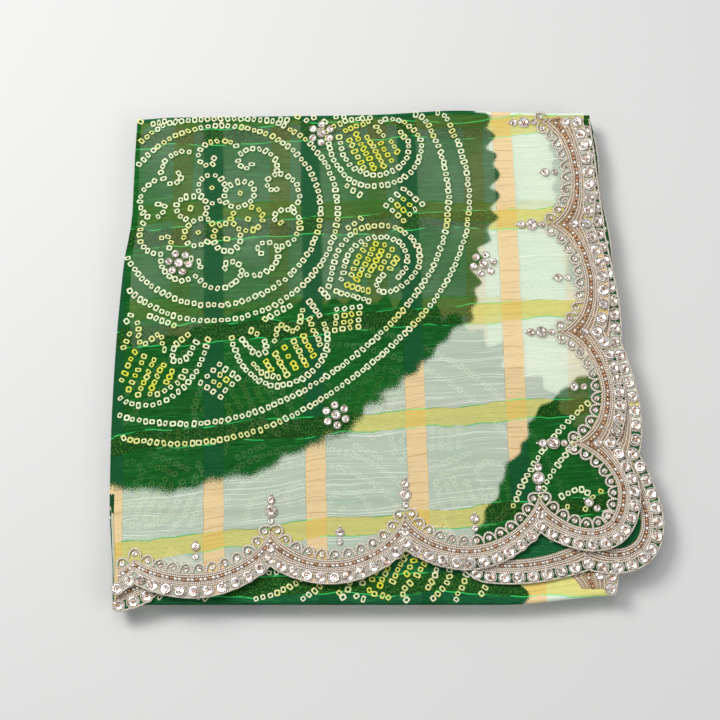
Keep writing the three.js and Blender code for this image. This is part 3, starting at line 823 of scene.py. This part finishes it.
def unweave(ply, weave_x, weave_y):
    """Where a place of the weave lies on a ply."""
    if ply != "face":
        return weave_x - weave_shift[ply][0], weave_y - weave_shift[ply][1]
    x, y = weave_x, weave_y
    for _ in range(6):
        x = weave_x - WARP_SLANT * y
        y = weave_y + (WEFT_SLANT - WEFT_BEND * y) * x
    return x, y


FAR_ROLL, FAR_ROLL_STARTS, ROLLED_SHARE = 14.0, 4.5, 0.28


def rolled_over(places):
    """The far fold's roll is seen edge on, so the rows that run along it lie close together there."""
    roll_start = fold_lines[0] + fold_shift(True, places[:, 0]) - FAR_ROLL_STARTS
    past = np.clip(places[:, 1] - roll_start, 0, FAR_ROLL)
    return places - np.column_stack([np.zeros(len(places)), past * (1 - ROLLED_SHARE)])


def marks_on_ply(ply, centre_shift=(0, 0)):
    """A medallion's marks laid on a ply, as places, directions, yellow shares and weave places."""
    middle_x, middle_y = medallion_middle[ply]

    def lay(points):
        points = points + centre_shift
        if ply == "face":
            points = drawn_out(points)
        weave_x = points[:, 0] + middle_x
        weave_y = points[:, 1] * MEDALLION_HEIGHT_SHARE + middle_y
        places = np.column_stack(unweave(ply, weave_x, weave_y))
        return rolled_over(places) if ply == "face" else places, weave_x, weave_y

    points = medallion_marks[:, :2] + mark_draw.normal(0, MARK_JITTER, (len(medallion_marks), 2))
    direction = medallion_marks[:, 2]
    placed, weave_x, weave_y = lay(points)
    step = lay(points + 0.5 * heading(direction))[0] - placed
    laid_direction = np.arctan2(step[:, 1], step[:, 0])
    return np.column_stack([placed, laid_direction, medallion_marks[:, 3], weave_x, weave_y])


EDGE_STEPS, LEFT_GAP, FAR_GAP = 400, 2.5, 0.7


def free_ends(on_back, shares, downs):
    """A top ply's front end and right end, at shares of the way along each."""
    end = np.ones(len(shares))
    turn = np.pi * on_back * end
    return np.column_stack(top_plan(turn, shares, end)), np.column_stack(top_plan(turn, end, downs))


def clear_of_edges(on_back, marks_there, gap):
    """Which marks lie clear of a top ply's free edges, its turned edge and its far fold."""
    shares = np.linspace(0, 1, EDGE_STEPS)
    front, side = free_ends(on_back, shares, shares)
    edge = np.vstack([front, side])
    away = np.sqrt(((marks_there[:, None, :2] - edge[None]) ** 2).sum(axis=2)).min(axis=1)
    reach_x = np.interp(marks_there[:, 1], side[::-1, 1], side[::-1, 0])
    reach_y = np.interp(marks_there[:, 0], front[:, 0], front[:, 1])
    inside = (marks_there[:, 0] < reach_x) & (marks_there[:, 1] > reach_y)
    left = ends_across(passes[0], marks_there[:, 1])[0]
    far_limit = fold_lines[0] + fold_shift(True, marks_there[:, 0]) - FAR_GAP
    return inside & (away > gap) & (marks_there[:, 0] > left + LEFT_GAP) & (marks_there[:, 1] < far_limit)


def apart(places):
    """The marks that lie clear of every earlier one, since two pinches of cloth can't share a place."""
    kept = []
    for index, place in enumerate(places):
        if not kept or np.linalg.norm(places[kept] - place, axis=1).min() > LEAST_APART:
            kept.append(index)
    return kept


EDGING_DEPTH = 29
SHADED_MARK_OWN_SHARE, STRIPE_YELLOW, STRIPE_PEACH = 0.45, 0.5, 0.45
SIZE_RANGE, STRETCH_RANGE, TURN_SPREAD = (0.82, 1.12), (0.78, 1.08), 0.3
YELLOW_RANGE, LIGHT_RANGE = (0.6, 1.2), (0.86, 1.0)
laid = []
for shift in ((0, 0), (LATTICE_HALF[0], -LATTICE_HALF[1])):
    face_marks = marks_on_ply("face", shift)
    face_marks = face_marks[clear_of_edges(0, face_marks, EDGING_DEPTH)]
    laid.append((face_marks, level_of(0, 0)))
back_marks = marks_on_ply("back")
laid.append((back_marks[clear_of_edges(1, back_marks, EDGING_DEPTH)], level_of(0, 1)))
fold_marks = marks_on_ply("second_back")
NEAR_FOLD_LOW, NEAR_FOLD_HIGH = (-186, -189.5), (150, -150)
near_fold = ((fold_marks[:, :2] > NEAR_FOLD_LOW) & (fold_marks[:, :2] < NEAR_FOLD_HIGH)).all(axis=1)
laid.append((fold_marks[near_fold], level_of(1, 1)))

MARK_CORNERS, CORNER_REACH = 8, 1.2
corner_reach = np.where(np.arange(MARK_CORNERS) % 2 == 0, 1.0, CORNER_REACH)
square = heading(np.arange(MARK_CORNERS) * 2 * np.pi / MARK_CORNERS) * corner_reach[:, None]
mark_loops = ((1.0, MARK_FOOT), (MARK_CREST_SHARE, MARK_CREST), (MARK_HOLE_SHARE, MARK_DIP))
mark_points, mark_tints = [], []


def off_stripe(place, at, pitch):
    return np.abs((place - at + pitch / 2) % pitch - pitch / 2)


for there, level in laid:
    there = there[apart(there[:, :2])]
    size = MARK_HALF * mark_draw.uniform(*SIZE_RANGE, len(there))
    stretch = mark_draw.uniform(*STRETCH_RANGE, len(there))
    turn = there[:, 2] + mark_draw.normal(0, TURN_SPREAD, len(there))
    cosine, sine = np.cos(turn)[:, None], np.sin(turn)[:, None]
    loops = []
    for share, rise in mark_loops:
        along = square[None, :, 0] * (size * stretch * share)[:, None]
        across = square[None, :, 1] * (size / stretch * share)[:, None]
        x = there[:, :1] + along * cosine - across * sine
        y = there[:, 1:2] + along * sine + across * cosine
        loops.append(np.stack([x, y, settle(x, y, level) + rise], axis=-1))
    mark_points.append(np.concatenate(loops, axis=1))
    on_peach = off_stripe(there[:, 4], PEACH_AT, PEACH_PITCH) < PEACH_HALF
    on_yellow = off_stripe(there[:, 5], YELLOW_AT, YELLOW_PITCH) < YELLOW_HALF
    yellow = np.maximum(there[:, 3], STRIPE_YELLOW * on_yellow)
    yellow = np.clip(yellow * mark_draw.uniform(*YELLOW_RANGE, len(there)), 0, 1)[:, None]
    tint = dye("F2F4CE") * mark_draw.uniform(*LIGHT_RANGE, len(there))[:, None]
    tint = mix(tint, dye("F3DDB0"), STRIPE_PEACH * on_peach[:, None])
    tint = mix(tint, dye("E2DA2A"), yellow)
    # Marks on the ply beneath the top ply get painted shade: their tint is drawn towards a mid green.
    if level_of(1, 1) < level < TOP_LEVEL:
        tint = mix(dye("3E8A58"), tint, SHADED_MARK_OWN_SHARE)
    mark_tints.append(tint)
mark_points = np.concatenate(mark_points)
mark_tints = np.concatenate(mark_tints)
mark_count, points_in_mark = mark_points.shape[:2]
mark_quads = grid_quads(len(mark_loops), MARK_CORNERS, closed=True)[0]
all_mark_quads = (np.arange(mark_count)[:, None, None] * points_in_mark + mark_quads).reshape(-1, 4)
MARK_MAP_SIDE, CELL_MARGIN = 2.6, 0.06
flat_loops = np.concatenate([square * share for share, _ in mark_loops]) / MARK_MAP_SIDE + 0.5


def cell_map(count, corner_places):
    """Gives each of many like pieces its own small cell of the finish map."""
    side = math.ceil(math.sqrt(count))
    row, column = np.divmod(np.arange(count), side)
    cell = np.stack([column, row], axis=-1)[:, None, None, :]
    in_cell = CELL_MARGIN + (1 - 2 * CELL_MARGIN) * corner_places
    return ((cell + in_cell) / side).reshape(-1, 4, 2)


tie_marks = new_piece(
    "tie_marks",
    mark_points.reshape(-1, 3),
    all_mark_quads,
    [("OFBake", cell_map(mark_count, flat_loops[mark_quads]))],
)
tint_layer = tie_marks.data.color_attributes.new("tint", "FLOAT_COLOR", "POINT")
point_tints = np.repeat(mark_tints, points_in_mark, axis=0)
tint_layer.data.foreach_set("color", point_tints.astype(np.float32).ravel())
mark_finish = Finish("undyed tie mark")
tinted = mark_finish.node("Attribute", attribute_name="tint").outputs["Color"]
fibre = mark_finish.grain(mark_finish.node("TexCoord").outputs["Object"], 2600.0)
shaded = mark_finish.colour(mark_finish.ramp(fibre, 0.35, 0.7, 0.0, 0.3), tinted, "8FAE7E")
mark_finish.surface({"Base Color": shaded, "Roughness": 0.75, "Specular IOR Level": 0.25})
mark_finish.bump(fibre, 0.0001)
tie_marks.data.materials.append(mark_finish.material)

# The edging is hand sewn on the free front and right ends of both top plies: a row of ringed sequins,
# twisted metal cords with a row of beads between them on hatched stitches, and a row of thread loops.
# The rows rise to a peak at each dip of the scallops, and points of sequins stand on peaks and crests.
EDGE_SAMPLES, CORD_EVERY = 1300, 4
EDGE_START, EDGE_STOP, CORNER_EASE, FIRST_CUSP_X = 0.002, 0.006, 0.06, -165
FRONT_INWARD, SIDE_INWARD = math.pi / 2, math.pi
PEAK_FROM, PEAK_REACH = 8.0, 13.0
PEAK_FRONT, PEAK_SIDE = 1.0, 1.6


def with_peaks(points, inward, cusps, level):
    """An edge to sew along, with the share by which its inner rows rise near each dip."""
    run = run_along(points)
    away = np.min([np.abs(run - run[cusp]) for cusp in cusps], axis=0)
    sideways = (inward - FRONT_INWARD) / (SIDE_INWARD - FRONT_INWARD)
    peak = mix(PEAK_FRONT, PEAK_SIDE, sideways) * np.exp(-away / PEAK_REACH)
    return dict(points=points, inward=inward, cusps=cusps, level=level, peak=peak)


def free_edge(on_back):
    """The free edge of a top ply from the left along the front, round the corner and up the side."""
    front, side = (back_front, back_side) if on_back else (face_front, face_side)
    shares = np.linspace(EDGE_START, 1, EDGE_SAMPLES)
    downs = np.linspace(1, EDGE_STOP, EDGE_SAMPLES)
    along_front, along_side = free_ends(on_back, shares, downs)
    left, face, rear = ends_across(passes[0], 0)
    rough_x = mix(left, rear if on_back else face, shares)
    corner = (CORNER_START - CORNER_EASE, 1 + CORNER_EASE)
    turned_in = np.concatenate([smooth_step(*corner, shares), 2 - smooth_step(*corner, downs)]) / 2
    cusps = []
    for number in range(-4, 5):
        x = front["cusp_x"] + number * FRONT_SCALLOP
        if FIRST_CUSP_X < x < front["last_middle"] - FRONT_SCALLOP / 4:
            cusps.append(int(np.argmin(np.abs(rough_x - x))))
    for number in range(-3, 4):
        y = side["cusp_y"] + number * SIDE_SCALLOP
        if side["last_middle"] + SIDE_SCALLOP / 4 < y < FAR:
            cusps.append(EDGE_SAMPLES + int(np.argmin(np.abs(along_side[:, 1] - y))))
    inward = mix(FRONT_INWARD, SIDE_INWARD, turned_in)
    return with_peaks(np.vstack([along_front, along_side]), inward, sorted(cusps), level_of(0, on_back))


def inset_line(edge, inset):
    reach = inset + edge["peak"] * max(0.0, inset - PEAK_FROM)
    return edge["points"] + reach[:, None] * heading(edge["inward"])


def on_ply(edge, points, rise):
    x, y = points[:, 0], points[:, 1]
    return np.column_stack([x, y, settle(x, y, edge["level"]) + rise])


def between_cusps(edge, inset, pitch, phase):
    """Places evenly spaced along each scallop, with the line's direction and the way inwards."""
    line = inset_line(edge, inset)
    stops = [0, *edge["cusps"], len(line) - 1]
    found = []
    for start, end in zip(stops[:-1], stops[1:]):
        piece = line[start : end + 1]
        run = run_along(piece)
        count = max(1, round(run[-1] / pitch))
        at = (np.arange(count) + phase) * run[-1] / count
        places, direction = along_line(piece, run, at, 1.0)
        inward = np.interp(at, run, edge["inward"][start : end + 1])
        found.append(np.column_stack([places, direction, inward]))
    return np.vstack(found)


def revolved(profile, segments):
    """A closed turned shape from pairs of radius and height, with a flat map of its corners."""
    round_about = heading(np.arange(segments) * 2 * np.pi / segments)
    points = np.array([(*(radius * way), height) for radius, height in profile for way in round_about])
    quads, corner_row, corner_column = grid_quads(len(profile), segments, closed=True)
    on_map = np.stack([corner_column / segments, corner_row / (len(profile) - 1)], axis=-1)
    return points, quads, on_map


WINDS, TILT_LIFT, CORD_TIP = 30, 0.6, 0.1
STRIP_MARGIN = np.array([0.005, 0.03])


def strewn(shape, places, turns, sizes, tilt=0.0):
    """Many copies of a shape of unit size, each turned, scaled and tilted a little where it is sewn."""
    points, quads, places_on_map = shape
    count = len(places)
    sizes = np.broadcast_to(sizes, (count,))
    cosine, sine = np.cos(turns)[:, None], np.sin(turns)[:, None]
    lean = mark_draw.normal(0, tilt, (count, 2)) if tilt else np.zeros((count, 2))
    x = (points[None, :, 0] * cosine - points[None, :, 1] * sine) * sizes[:, None]
    y = (points[None, :, 0] * sine + points[None, :, 1] * cosine) * sizes[:, None]
    z = points[None, :, 2] * sizes[:, None] + lean[:, :1] * x + lean[:, 1:] * y
    z = z + np.abs(lean).sum(axis=1, keepdims=True) * sizes[:, None] * TILT_LIFT
    copies = np.stack([x, y, z], axis=-1) + places[:, None]
    copied_quads = (np.arange(count)[:, None, None] * len(points) + quads[None]).reshape(-1, 4)
    wound = np.tile(places_on_map * (WINDS, 1), (count, 1, 1))
    return copies.reshape(-1, 3), copied_quads, cell_map(count, places_on_map), wound


def cord_along(line, radius, sides=6):
    """A round cord along a line of points, drawn to a point at both ends."""
    step = np.gradient(line, axis=0)
    step /= np.linalg.norm(step, axis=1, keepdims=True)
    side = np.column_stack([-step[:, 1], step[:, 0], np.zeros(len(line))])
    side /= np.linalg.norm(side, axis=1, keepdims=True)
    up = np.cross(step, side)
    angle = np.arange(sides) * 2 * np.pi / sides
    reach = np.full(len(line), radius)
    reach[[0, -1]] *= CORD_TIP
    points = line[:, None] + reach[:, None, None] * (
        np.cos(angle)[None, :, None] * side[:, None] + np.sin(angle)[None, :, None] * up[:, None]
    )
    outward = (0, 3, 2, 1)
    quads, corner_row, corner_column = (
        corners[:, outward] for corners in grid_quads(len(line), sides, closed=True)
    )
    run = run_along(line)
    thread = np.stack([run[corner_row], corner_column / sides], axis=-1)
    return points.reshape(-1, 3), quads, thread / (run[-1], 1), thread


def sewn_piece(name, parts, slot, *finishes):
    """One piece of many parts, each with its strip of the finish map and its own thread map."""
    points, quads, on_map, thread = [], [], [], []
    start = 0
    for index, (part_points, part_quads, part_map, part_thread) in enumerate(parts):
        points.append(part_points)
        quads.append(part_quads + start)
        in_strip = part_map * (1 - 2 * STRIP_MARGIN) + STRIP_MARGIN
        on_map.append((in_strip + (0, index)) / (1, len(parts)))
        thread.append(part_thread)
        start += len(part_points)
    maps = [("OFBake", np.concatenate(on_map)), ("thread", np.concatenate(thread))]
    piece = new_piece(name, np.concatenate(points), np.concatenate(quads), maps)
    for finish in finishes:
        piece.data.materials.append(finish)
    return piece


SEQUIN_RING, SEQUIN_PITCH, SEQUIN_INSET, SEQUIN_RISE = 5.4, 11.0, 5.2, 0.35
SEQUIN_RANGE, CORD_RISE_SHARE = (0.92, 1.03), 0.9
ring_shape = revolved(((1.0, 0.0), (0.99, 0.14), (0.92, 0.24), (0.85, 0.21), (0.8, 0.06), (0.79, 0.0)), 18)
cup_shape = revolved(((0.78, 0.02), (0.74, 0.2), (0.54, 0.13), (0.34, 0.05), (0.14, 0.03)), 14)
bead_shape = revolved(((0.05, 0.0), (0.8, 0.1), (1.0, 0.55), (0.78, 1.0), (0.35, 1.2), (0.03, 1.24)), 9)
long_bead = revolved(((0.02, -1.2), (0.7, -1.08), (1.0, -0.5), (1.0, 0.5), (0.7, 1.08), (0.02, 1.2)), 8)
long_bead_shape = (long_bead[0][:, (2, 0, 1)], *long_bead[1:])
CUP_TILT, CUP_BEAD_SHARE, CUP_BEAD_RISE = 0.13, 0.2, 0.25
LOOP_INSET, LOOP_PITCH, LOOP_RADIUS, LOOP_HEIGHT, LOOP_CORD = 19.2, 10.6, 5.0, 7.4, 0.95
LOOP_TUCK, LOOP_STEPS = 0.1, 9
LOOP_SEQUIN, LOOP_SEQUIN_SHARE, LEAST_CREST = 2.4, 0.42, 150
PEAK_SEQUIN, PEAK_SEQUIN_INSET, PEAK_SEQUIN_RISE = 3.7, 10.6, 0.9
BEAD_INSET, BEAD_PITCH, BEAD_RADIUS = 14.2, 3.3, 1.25
cord_rows = table(
    ("inset", "radius"), (0.7, 0.7), (9.3, 0.75), (10.9, 0.7), (12.3, 0.6), (16.4, 0.7), (18.0, 0.7)
)
# How far each sewn thing of a point stands above the foot of the loops there.
point_columns = ("above", "radius", "kind")
tall_point = table(
    point_columns, (4.2, 2.8, "ringed"), (12.4, 5.0, "ringed"), (20.9, 3.4, "ringed"), (25.4, 1.1, "bead")
)
short_point = table(point_columns, (13.0, 2.8, "ringed"), (20.6, 3.6, "ringed"), (25.2, 1.0, "bead"))
ringed, threads, plain_beads, bronze_beads = [], [], [], []


def stitch_rows(edge):
    """The sequins, cords and beads that every edge has."""
    row = between_cusps(edge, SEQUIN_INSET, SEQUIN_PITCH, 0.0)
    sizes = SEQUIN_RING * mark_draw.uniform(*SEQUIN_RANGE, len(row))
    ringed.append((on_ply(edge, row[:, :2], SEQUIN_RISE), row[:, 2], sizes))
    in_peaks = inset_line(edge, PEAK_SEQUIN_INSET)[edge["cusps"]]
    peak_sizes = np.full(len(in_peaks), PEAK_SEQUIN)
    ringed.append((on_ply(edge, in_peaks, PEAK_SEQUIN_RISE), edge["inward"][edge["cusps"]], peak_sizes))
    for cord in cord_rows:
        line = inset_line(edge, cord["inset"])[::CORD_EVERY]
        threads.append(cord_along(on_ply(edge, line, cord["radius"] * CORD_RISE_SHARE), cord["radius"]))
    row = between_cusps(edge, BEAD_INSET, BEAD_PITCH, 0.5)
    places = on_ply(edge, row[:, :2], BEAD_RADIUS)
    on_side = row[:, 3] > (FRONT_INWARD + SIDE_INWARD) / 2
    is_plain = (np.arange(len(row)) % 3 == 2) != ~on_side
    for beads, chosen in ((plain_beads, is_plain), (bronze_beads, ~is_plain)):
        beads.append(strewn(long_bead_shape, places[chosen], row[chosen, 2], BEAD_RADIUS))


def stitch_loops(edge):
    """The loops along the inside of the face's edging, with a sequin in each, and the points above."""
    loop_turn = np.linspace(-LOOP_TUCK, np.pi + LOOP_TUCK, LOOP_STEPS)
    row = between_cusps(edge, LOOP_INSET, LOOP_PITCH, 0.5)
    along, out = heading(row[:, 2]), heading(row[:, 2] + math.pi / 2)
    for foot, side, top in zip(row[:, :2], along, out):
        bent = foot + LOOP_RADIUS * np.cos(loop_turn)[:, None] * side
        bent = bent + LOOP_HEIGHT * np.sin(loop_turn)[:, None] * top
        threads.append(cord_along(on_ply(edge, bent, LOOP_CORD), LOOP_CORD, sides=5))
    middles = row[:, :2] + LOOP_SEQUIN_SHARE * LOOP_HEIGHT * out
    ringed.append((on_ply(edge, middles, SEQUIN_RISE), row[:, 2], np.full(len(row), LOOP_SEQUIN)))
    stops = [0, *edge["cusps"], len(edge["points"]) - 1]
    crests = [(start + end) // 2 for start, end in zip(stops[:-1], stops[1:]) if end - start > LEAST_CREST]
    for heads, point in ((edge["cusps"], tall_point), (crests, short_point)):
        foot = inset_line(edge, LOOP_INSET)[heads]
        turns = edge["inward"][heads]
        for sewn in point:
            places = on_ply(edge, foot + sewn["above"] * heading(turns), SEQUIN_RISE)
            if sewn["kind"] == "bead":
                plain_beads.append(strewn(bead_shape, places, turns, sewn["radius"]))
            else:
                ringed.append((places, turns, np.full(len(places), sewn["radius"])))


def under_end(pass_index, on_back, y):
    """The right end of a lower pass's ply, which runs on round the folds with the same edging."""
    left, face, rear = ends_across(passes[pass_index], y)
    x = np.where(on_back, rear, face) + under_bulge(pass_index, on_back, y)
    from_far = pass_index % 2 == 1
    start = fold_lines[pass_index - 1]
    way = np.clip((y - start) / (NEAR - FAR if from_far else FAR - NEAR), 0, 1)
    return np.column_stack([x, y + mix(fold_shift(from_far, x), fold_shift(not from_far, x), way)])


def stretch_of(edge, start, end):
    """The stretch of an edge between two of its samples."""
    stretch = {name: edge[name][start:end] for name in ("points", "inward", "peak")}
    cusps = [cusp - start for cusp in edge["cusps"] if start < cusp < end]
    return dict(stretch, cusps=cusps, level=edge["level"])


# The back ply is sewn where it shows past the face: at its left corner, and from the middle to the right.
SHOWS_LEFT_OF, SHOWS_RIGHT_OF = -128, 45
face_edge, back_edge = free_edge(0), free_edge(1)
back_front_x = back_edge["points"][:EDGE_SAMPLES, 0]
left_stop, right_start = np.searchsorted(back_front_x, (SHOWS_LEFT_OF, SHOWS_RIGHT_OF))
back_left = stretch_of(back_edge, 0, left_stop)
back_right = stretch_of(back_edge, right_start, len(back_edge["points"]))
near_y, near_cusps = np.linspace(-188, -60, 260), [20, 190]
near_end = under_end(1, 1, near_y)
near_edge = with_peaks(near_end, np.full(len(near_y), SIDE_INWARD), near_cusps, level_of(1, 1))
sewn_edges = (face_edge, back_left, back_right, near_edge)
for edge in sewn_edges:
    stitch_rows(edge)
stitch_loops(face_edge)


def sew_ringed(groups):
    """Ringed sequins: a wound thread ring, a cupped sequin in it and a small bronze bead on that."""
    rings = [strewn(ring_shape, places, turns, sizes) for places, turns, sizes in groups]
    cups = [strewn(cup_shape, places, turns, sizes, CUP_TILT) for places, turns, sizes in groups]
    studs = [
        strewn(bead_shape, places + (0, 0, CUP_BEAD_RISE), turns, sizes * CUP_BEAD_SHARE)
        for places, turns, sizes in groups
    ]
    return rings, cups, studs


edging_rings, edging_cups, edging_studs = sew_ringed(ringed)
UNDER_SEQUIN, UNDER_PITCH, UNDER_INSET, UNDER_RISE, UNDER_TILT = 4.2, 11.5, 5.0, 0.3, 0.03
UNDER_CORD, UNDER_CORD_INSET, UNDER_CORD_RISE = 0.6, 0.4, 0.1
under_y, UNDER_FIRST, UNDER_LAST = np.arange(-178, 196, 2.0), 6, 4
for index in range(1, len(passes)):
    for on_back in (0, 1):
        end = under_end(index, on_back, under_y)
        end_edge = dict(level=level_of(index, on_back))
        cord_line = on_ply(end_edge, end - (UNDER_CORD_INSET, 0), UNDER_CORD_RISE)
        threads.append(cord_along(cord_line, UNDER_CORD, sides=5))
        sewn_y = np.arange(end[0, 1] + UNDER_FIRST, end[-1, 1] - UNDER_LAST, UNDER_PITCH)
        sewn = np.column_stack([np.interp(sewn_y, end[:, 1], end[:, 0]) - UNDER_INSET, sewn_y])
        if (index, on_back) == (1, 1):
            sewn = sewn[sewn_y > near_end[-1, 1] + UNDER_PITCH]
        places = on_ply(end_edge, sewn, UNDER_RISE)
        edging_cups.append(strewn(cup_shape, places, np.zeros(len(sewn)), UNDER_SEQUIN, UNDER_TILT))

BAND_INSETS = np.array([8.4, 9.4, 12.2, 14.4, 16.6, 18.4, 19.2])
BAND_RISES = 0.22 * np.array([0.4, 1, 1, 1, 1, 1, 0.4])
bands = []
for edge in sewn_edges:
    lines = [inset_line(edge, inset)[::CORD_EVERY] for inset in BAND_INSETS]
    band = np.stack([on_ply(edge, line, rise) for line, rise in zip(lines, BAND_RISES)])
    band_quads = grid_quads(len(BAND_INSETS), band.shape[1])[0]
    run = run_along(lines[len(lines) // 2])
    thread_places = np.stack(np.meshgrid(run, BAND_INSETS), axis=-1).reshape(-1, 2)[band_quads]
    on_map = (thread_places - (0, BAND_INSETS[0])) / (run[-1], BAND_INSETS[-1] - BAND_INSETS[0])
    bands.append((band.reshape(-1, 3), band_quads, on_map, thread_places))


HATCH_ALONG, HATCH_ACROSS, HATCH_SWING, HATCH_SWINGS = 1.9, 2.4, 6.0, 0.12
TWIST_ALONG, TWIST_AROUND = 4.2, 6.28


def metal_thread(name, hatch):
    """Wound metal thread: silver grey and rose bronze, with its twist or hatched stitches and painted shade
    between them.
    """
    finish = Finish(name)
    thread = finish.map("thread")
    along, across = finish.split(thread)
    uneven_thread = finish.grain(thread, 0.9)
    if hatch:
        swing = finish.number("SINE", finish.times(along, HATCH_SWINGS))
        lean = finish.number("MULTIPLY_ADD", swing, HATCH_SWING, across)
        stitch = finish.number("MULTIPLY_ADD", lean, HATCH_ACROSS, finish.times(along, HATCH_ALONG))
    else:
        stitch = finish.number("MULTIPLY_ADD", across, TWIST_AROUND, finish.times(along, TWIST_ALONG))
    wave = finish.number("MULTIPLY_ADD", finish.number("SINE", stitch), 0.5, 0.5)
    lit = finish.number("MULTIPLY_ADD", uneven_thread, 0.5, finish.times(wave, 0.6))
    # The dark colour is painted shade in the gaps between turns or stitches, the light one the thread's own.
    dark, light = ("4A3A28", "C0A27A") if hatch else ("62503F", "F4E8D8")
    colour = finish.colour(finish.ramp(lit, 0.1, 0.55), dark, light)
    finish.surface({"Base Color": colour, "Metallic": 0.2, "Roughness": 0.34})
    finish.bump(wave, 0.0003)
    return finish.material


edging_band = sewn_piece("edging_band", bands, "thread", metal_thread("hatched metal thread", hatch=True))
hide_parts("edging")
wound_thread = metal_thread("wound metal thread", hatch=False)
sewn_piece("edging_threads", threads + edging_rings, "thread", wound_thread)


def foil(name, light, dark, roughness):
    """Bright stamped foil or glass with metal in it, a little uneven."""
    finish = Finish(name)
    patch = finish.grain(finish.node("TexCoord").outputs["Object"], 560.0)
    colour = finish.colour(finish.ramp(patch, 0.36, 0.6), dark, light)
    uneven_shine = finish.ramp(patch, 0.3, 0.7, roughness * 1.5, roughness)
    finish.surface({"Base Color": colour, "Metallic": 0.6, "Roughness": uneven_shine})
    finish.bump(patch, 0.0001)
    return finish.material


silver_foil = foil("silver rose sequin", "FFFEFA", "9E7C66", 0.2)
bronze_glass = foil("bronze bead", "D2A584", "8C6448", 0.24)
silver_glass = foil("silver bead", "F4EFE8", "CFC2B6", 0.22)
sewn_piece("edging_sequins", edging_cups, "sequin", silver_foil)
all_beads = plain_beads + bronze_beads + edging_studs
edging_beads = sewn_piece("edging_beads", all_beads, "bead", silver_glass, bronze_glass)
silver_count = sum(len(part[1]) for part in plain_beads)
is_bronze = np.arange(len(edging_beads.data.polygons)) >= silver_count
edging_beads.data.polygons.foreach_set("material_index", is_bronze.astype(np.int32))

# Each spray is a flower of seven ringed sequins, six about one, sewn by hand flat to the top ply. Its
# rings are wound metal thread, its sequins are silver foil, and a bronze bead holds each of them down.
SPRAY_MIDDLE, SPRAY_PETAL, SPRAY_REACH, SPRAY_RISE = 3.9, 3.2, 8.2, 0.4
SPRAY_PETALS, FIRST_SPRAY_TURN, NEXT_SPRAY_TURN = 6, 0.5, 0.4
spray_groups = []
for number, place in enumerate(spray_places):
    turn = FIRST_SPRAY_TURN + NEXT_SPRAY_TURN * number
    angle = 2 * np.pi * np.arange(SPRAY_PETALS) / SPRAY_PETALS + turn
    centres = np.vstack([place, place + SPRAY_REACH * heading(angle)])
    sizes = np.array([SPRAY_MIDDLE] + [SPRAY_PETAL] * SPRAY_PETALS)
    sewn_at = on_ply(dict(level=TOP_LEVEL), centres, SPRAY_RISE)
    spray_groups.append((sewn_at, np.concatenate([[0], angle]), sizes))
spray_rings, spray_cups, spray_studs = sew_ringed(spray_groups)
spray_sequins = sewn_piece("spray_sequins", spray_cups, "sequin", silver_foil)
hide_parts("spray_1", "spray_2", "spray_3", "spray_4")
sewn_piece("spray_threads", spray_rings, "thread", wound_thread)
sewn_piece("spray_beads", spray_studs, "bead", bronze_glass)

# The stage is a pale, even floor in the soft light of a studio: three area lights and a dim sky. The
# camera looks steeply down on the pack.
FLOOR_HALF, SKY_STRENGTH = 20.0, 0.34
floor_mesh = bpy.data.meshes.new("floor")
floor_corners = [(FLOOR_HALF * x, FLOOR_HALF * y, 0) for x, y in ((-1, -1), (1, -1), (1, 1), (-1, 1))]
floor_mesh.from_pydata(floor_corners, [], [(0, 1, 2, 3)])
floor = bpy.data.objects.new("floor", floor_mesh)
bpy.context.scene.collection.objects.link(floor)
floor_finish = Finish("pale floor")
floor_finish.surface({"Base Color": "D8D8D6", "Roughness": 0.8})
floor_mesh.materials.append(floor_finish.material)
floor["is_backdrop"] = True

world = bpy.data.worlds.new("studio")
world.use_nodes = True
sky = world.node_tree.nodes["Background"]
sky.inputs["Color"].default_value = dye("E9EBEE")
sky.inputs["Strength"].default_value = SKY_STRENGTH
bpy.context.scene.world = world
bpy.context.scene.view_settings.view_transform = "Standard"
lights = table(
    ("name", "place", "side", "watts"),
    ("key", (-0.9, 0.6, 1.5), 0.7, 24),
    ("overhead", (-0.1, 0.45, 1.7), 0.9, 6.5),
    ("fill", (1.1, -0.7, 1.3), 0.9, 6),
)
for light in lights:
    lamp = bpy.data.lights.new(light["name"], "AREA")
    lamp.size = light["side"]
    lamp.energy = light["watts"]
    holder = bpy.data.objects.new(light["name"], lamp)
    holder.location = light["place"]
    holder.rotation_euler = (-Vector(light["place"])).to_track_quat("-Z", "Y").to_euler()
    bpy.context.scene.collection.objects.link(holder)

CAMERA_ELEVATION, CAMERA_DISTANCE = math.radians(76), 1.19
CAMERA_SENSOR, CAMERA_LENS = 36, 74.5
camera_data = bpy.data.cameras.new("camera")
camera_data.sensor_width = CAMERA_SENSOR
camera_data.lens = CAMERA_LENS
camera = bpy.data.objects.new("camera", camera_data)
target = Vector(place_in_frame(np.array([0.0, 0.0, TOP_LEVEL])))
offset = Vector((0, -math.cos(CAMERA_ELEVATION), math.sin(CAMERA_ELEVATION))) * CAMERA_DISTANCE
camera.location = target + offset
camera.rotation_euler = (-offset).to_track_quat("-Z", "Y").to_euler()
bpy.context.scene.collection.objects.link(camera)
bpy.context.scene.camera = camera

boxes = {"cad": cad_box, "visual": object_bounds()}
plain = {name: [[float(v) for v in corner] for corner in box] for name, box in boxes.items()}
